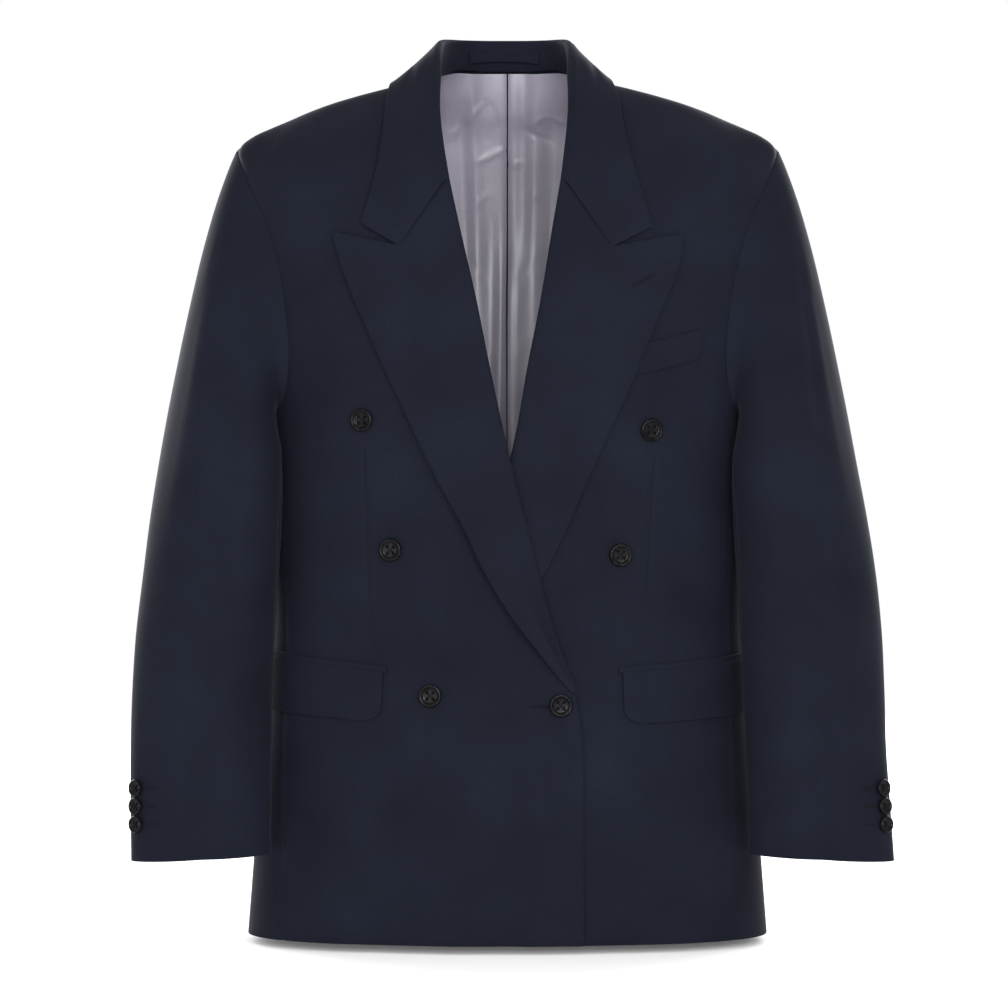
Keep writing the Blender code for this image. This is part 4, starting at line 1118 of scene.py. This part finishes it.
def make_body(wool, satin):
    """Fronts, side panels, backs and the back's lining."""
    for side, word in SIDES:
        for part, rows, across, edges in (("front", front_rows, 10, ("top", "last")),
                                          ("side", side_rows, 4, ("first", "last")),
                                          ("back", back_rows, 5, ("top", "first", "last"))):
            grid = drape_body(refine(rows(side), 9, across))
            piece = make_sheet(f"{part}_{word}", part, "hung", grid, wool, edges=edges)
        lining = wrinkle_lining(drape_body(refine(lining_rows(side), 18, 9)))
        make_sheet(f"lining_back_{word}", "lining_back", "hung", lining, satin, [piece], "satin",
                   "grey_lining", wall=LINING_WALL, edges=("last",), dip=-1.3, reach=2.2)


def make_sleeves(wool):
    """Two-piece sleeves."""
    count = len(ARM_ANGLES)
    for side, word in SIDES:
        drape = drape_sleeve(side)
        for part, first, last in (("top", BACK_SEAM_AT - count, FRONT_SEAM_AT),
                                  ("under", FRONT_SEAM_AT, BACK_SEAM_AT)):
            grid = drape(refine(sleeve_piece(side, first, last), 8, 5))
            make_sheet(f"sleeve_{word}_{part}", f"sleeve_{part}", "hung", grid, wool,
                       centre=(side * ARM_ACROSS, ARM_DEPTH), edges=("first", "last"))


def make_collar_and_lapels(wool):
    """The collar, folded round the neck, and the two peak lapels turned back."""
    fall = calm(through(collar_rows(), 7), RISE_CUTS + BEND_CUTS + 1, 14)
    make_sheet("collar", "collar", "folded", drape_body(fall), wool, middle=True)
    for side, word in SIDES:
        grid = drape_body(through(lapel_rows(side), 9))
        make_sheet(f"lapel_{word}", "lapel", "folded", grid, wool, [f"front_{word}_cloth"],
                   middle=True)


def make_pockets(wool):
    """Hip pocket flaps with their jetted edges, the breast welt, and the hanging loop."""
    for side, word in SIDES:
        flap = drape_body(refine(flap_rows(side, *POCKETS[side]), 4, 3))
        make_sheet(f"flap_{word}", "flap", "hung", flap, wool, [f"front_{word}_cloth"])
        jet = drape_body(refine(jet_rows(side, *POCKETS[side][:3]), 2, 4))
        make_sheet(f"jet_{word}", "jet", "laid", jet, wool, [f"front_{word}_cloth"])
    welt = drape_body(refine(welt_rows(), 3, 4))
    make_sheet("breast_welt", "breast_welt", "laid", welt, wool, ["front_left_cloth"])
    make_sheet("hanger_loop", "hanger_loop", "hung", refine(hanger_loop_rows(), 2, 3), wool,
               ["collar_cloth"], wall=LOOP_WALL, middle=True)


def make_closures(horn, thread):
    """Buttons on the fronts and cuffs, the buttonholes that show, and the darts' seams."""
    for name, side, across, height in FRONT_BUTTONS:
        foot, beside, above = (drape_body(on_front(side, across + step, height, WALL + out))
                               for step, out in ((0, SHANK), (0.5, SHANK), (0, SHANK + 1)))
        make_button(name, FRONT_BUTTON, foot, side * (beside - foot), above - foot, horn, thread)
    for side, word in SIDES:
        drape = drape_sleeve(side)
        for place, height in CUFF_BUTTON_HEIGHTS.items():
            for kind, around in (("button", CUFF_BUTTON_AROUND), ("hole", CUFF_HOLE_AROUND)):
                here, round_it, below = (
                    drape(sleeve_ring(side, height - down, around + turn))
                    for down, turn in ((0, 0), (0, 4), (5, 0)))
                along = round_it - here
                normal = unit(np.cross(along, below - here))
                normal = -normal if normal[1] > 0 else normal
                if kind == "button":
                    make_button(f"cuff_button_{word}_{place}", CUFF_BUTTON,
                                here + normal * (WALL + SHANK + 0.6), along, normal, horn, thread)
                else:
                    make_buttonhole(f"cuff_hole_{word}_{place}", here + normal * WALL, along,
                                    normal, CUFF_HOLE_LENGTH, thread)
    make_front_hole("front_hole", *FRONT_HOLE, thread)
    for word, side, top, foot in DARTS:
        make_dart(f"dart_{word}", side, top, foot, thread)
    make_front_hole("lapel_hole", *LAPEL_HOLE, thread)


FLOOR_GAP = 8.0     # the hem hangs this far above the floor
FLOOR_REACH = 9.0
# Camera and the middle of the garment that the lights face, in metres.
LENS, CAMERA_AT, AIM_AT = 127.75, (-0.0031, -3.2, -0.3865), (0, 0, -0.4)
# Softboxes: name, place and size in metres, power in watts.
SOFTBOXES = [
    ("softbox_key", (0.9, -3.0, 0.4), 1.3, 54.0), ("softbox_fill", (-1.2, -3.0, -0.3), 1.6, 30.0),
    ("softbox_front", (0.0, -3.3, -0.14), 0.4, 36.0), ("softbox_back", (1.3, 2.6, 0.6), 1.8, 80.0),
    ("softbox_rim", (-1.6, 2.2, 0.3), 1.6, 70.0),
]


def make_studio():
    """A white floor and soft even light from all round, a little stronger from the front."""
    scene = bpy.context.scene
    mesh = bpy.data.meshes.new("studio_floor")
    corners = [(x * FLOOR_REACH, y * FLOOR_REACH, (HEM - FLOOR_GAP) * MM)
               for x, y in ((-1, -1), (1, -1), (1, 1), (-1, 1))]
    mesh.from_pydata(corners, [], [(0, 1, 2, 3)])
    mesh.materials.append(seamless_paper())
    floor = bpy.data.objects.new("studio_floor", mesh)
    scene.collection.objects.link(floor)
    scene.world = bpy.data.worlds.new("white_studio")
    scene.world.use_nodes = True
    background = scene.world.node_tree.nodes["Background"]
    background.inputs["Color"].default_value = (1, 1, 1, 1)
    background.inputs["Strength"].default_value = 1.0
    for name, place, size, power in SOFTBOXES:
        light = bpy.data.lights.new(name, "AREA")
        light.size, light.energy = size, power
        lamp = bpy.data.objects.new(name, light)
        lamp.location = place
        aim = Vector(AIM_AT) - Vector(place)
        lamp.rotation_euler = aim.to_track_quat("-Z", "Y").to_euler()
        scene.collection.objects.link(lamp)
    camera = bpy.data.cameras.new("camera")
    camera.sensor_width, camera.lens = 36.0, LENS
    eye = bpy.data.objects.new("camera", camera)
    eye.location = CAMERA_AT
    eye.rotation_euler = (math.radians(90), 0, 0)
    scene.collection.objects.link(eye)
    scene.camera = eye
    scene.view_settings.view_transform = "Standard"


wool, satin, horn, thread = worsted_wool(), satin_lining(), polished_horn(), sewing_thread()
make_body(wool, satin)
make_sleeves(wool)
make_collar_and_lapels(wool)
make_pockets(wool)
make_closures(horn, thread)
make_studio()
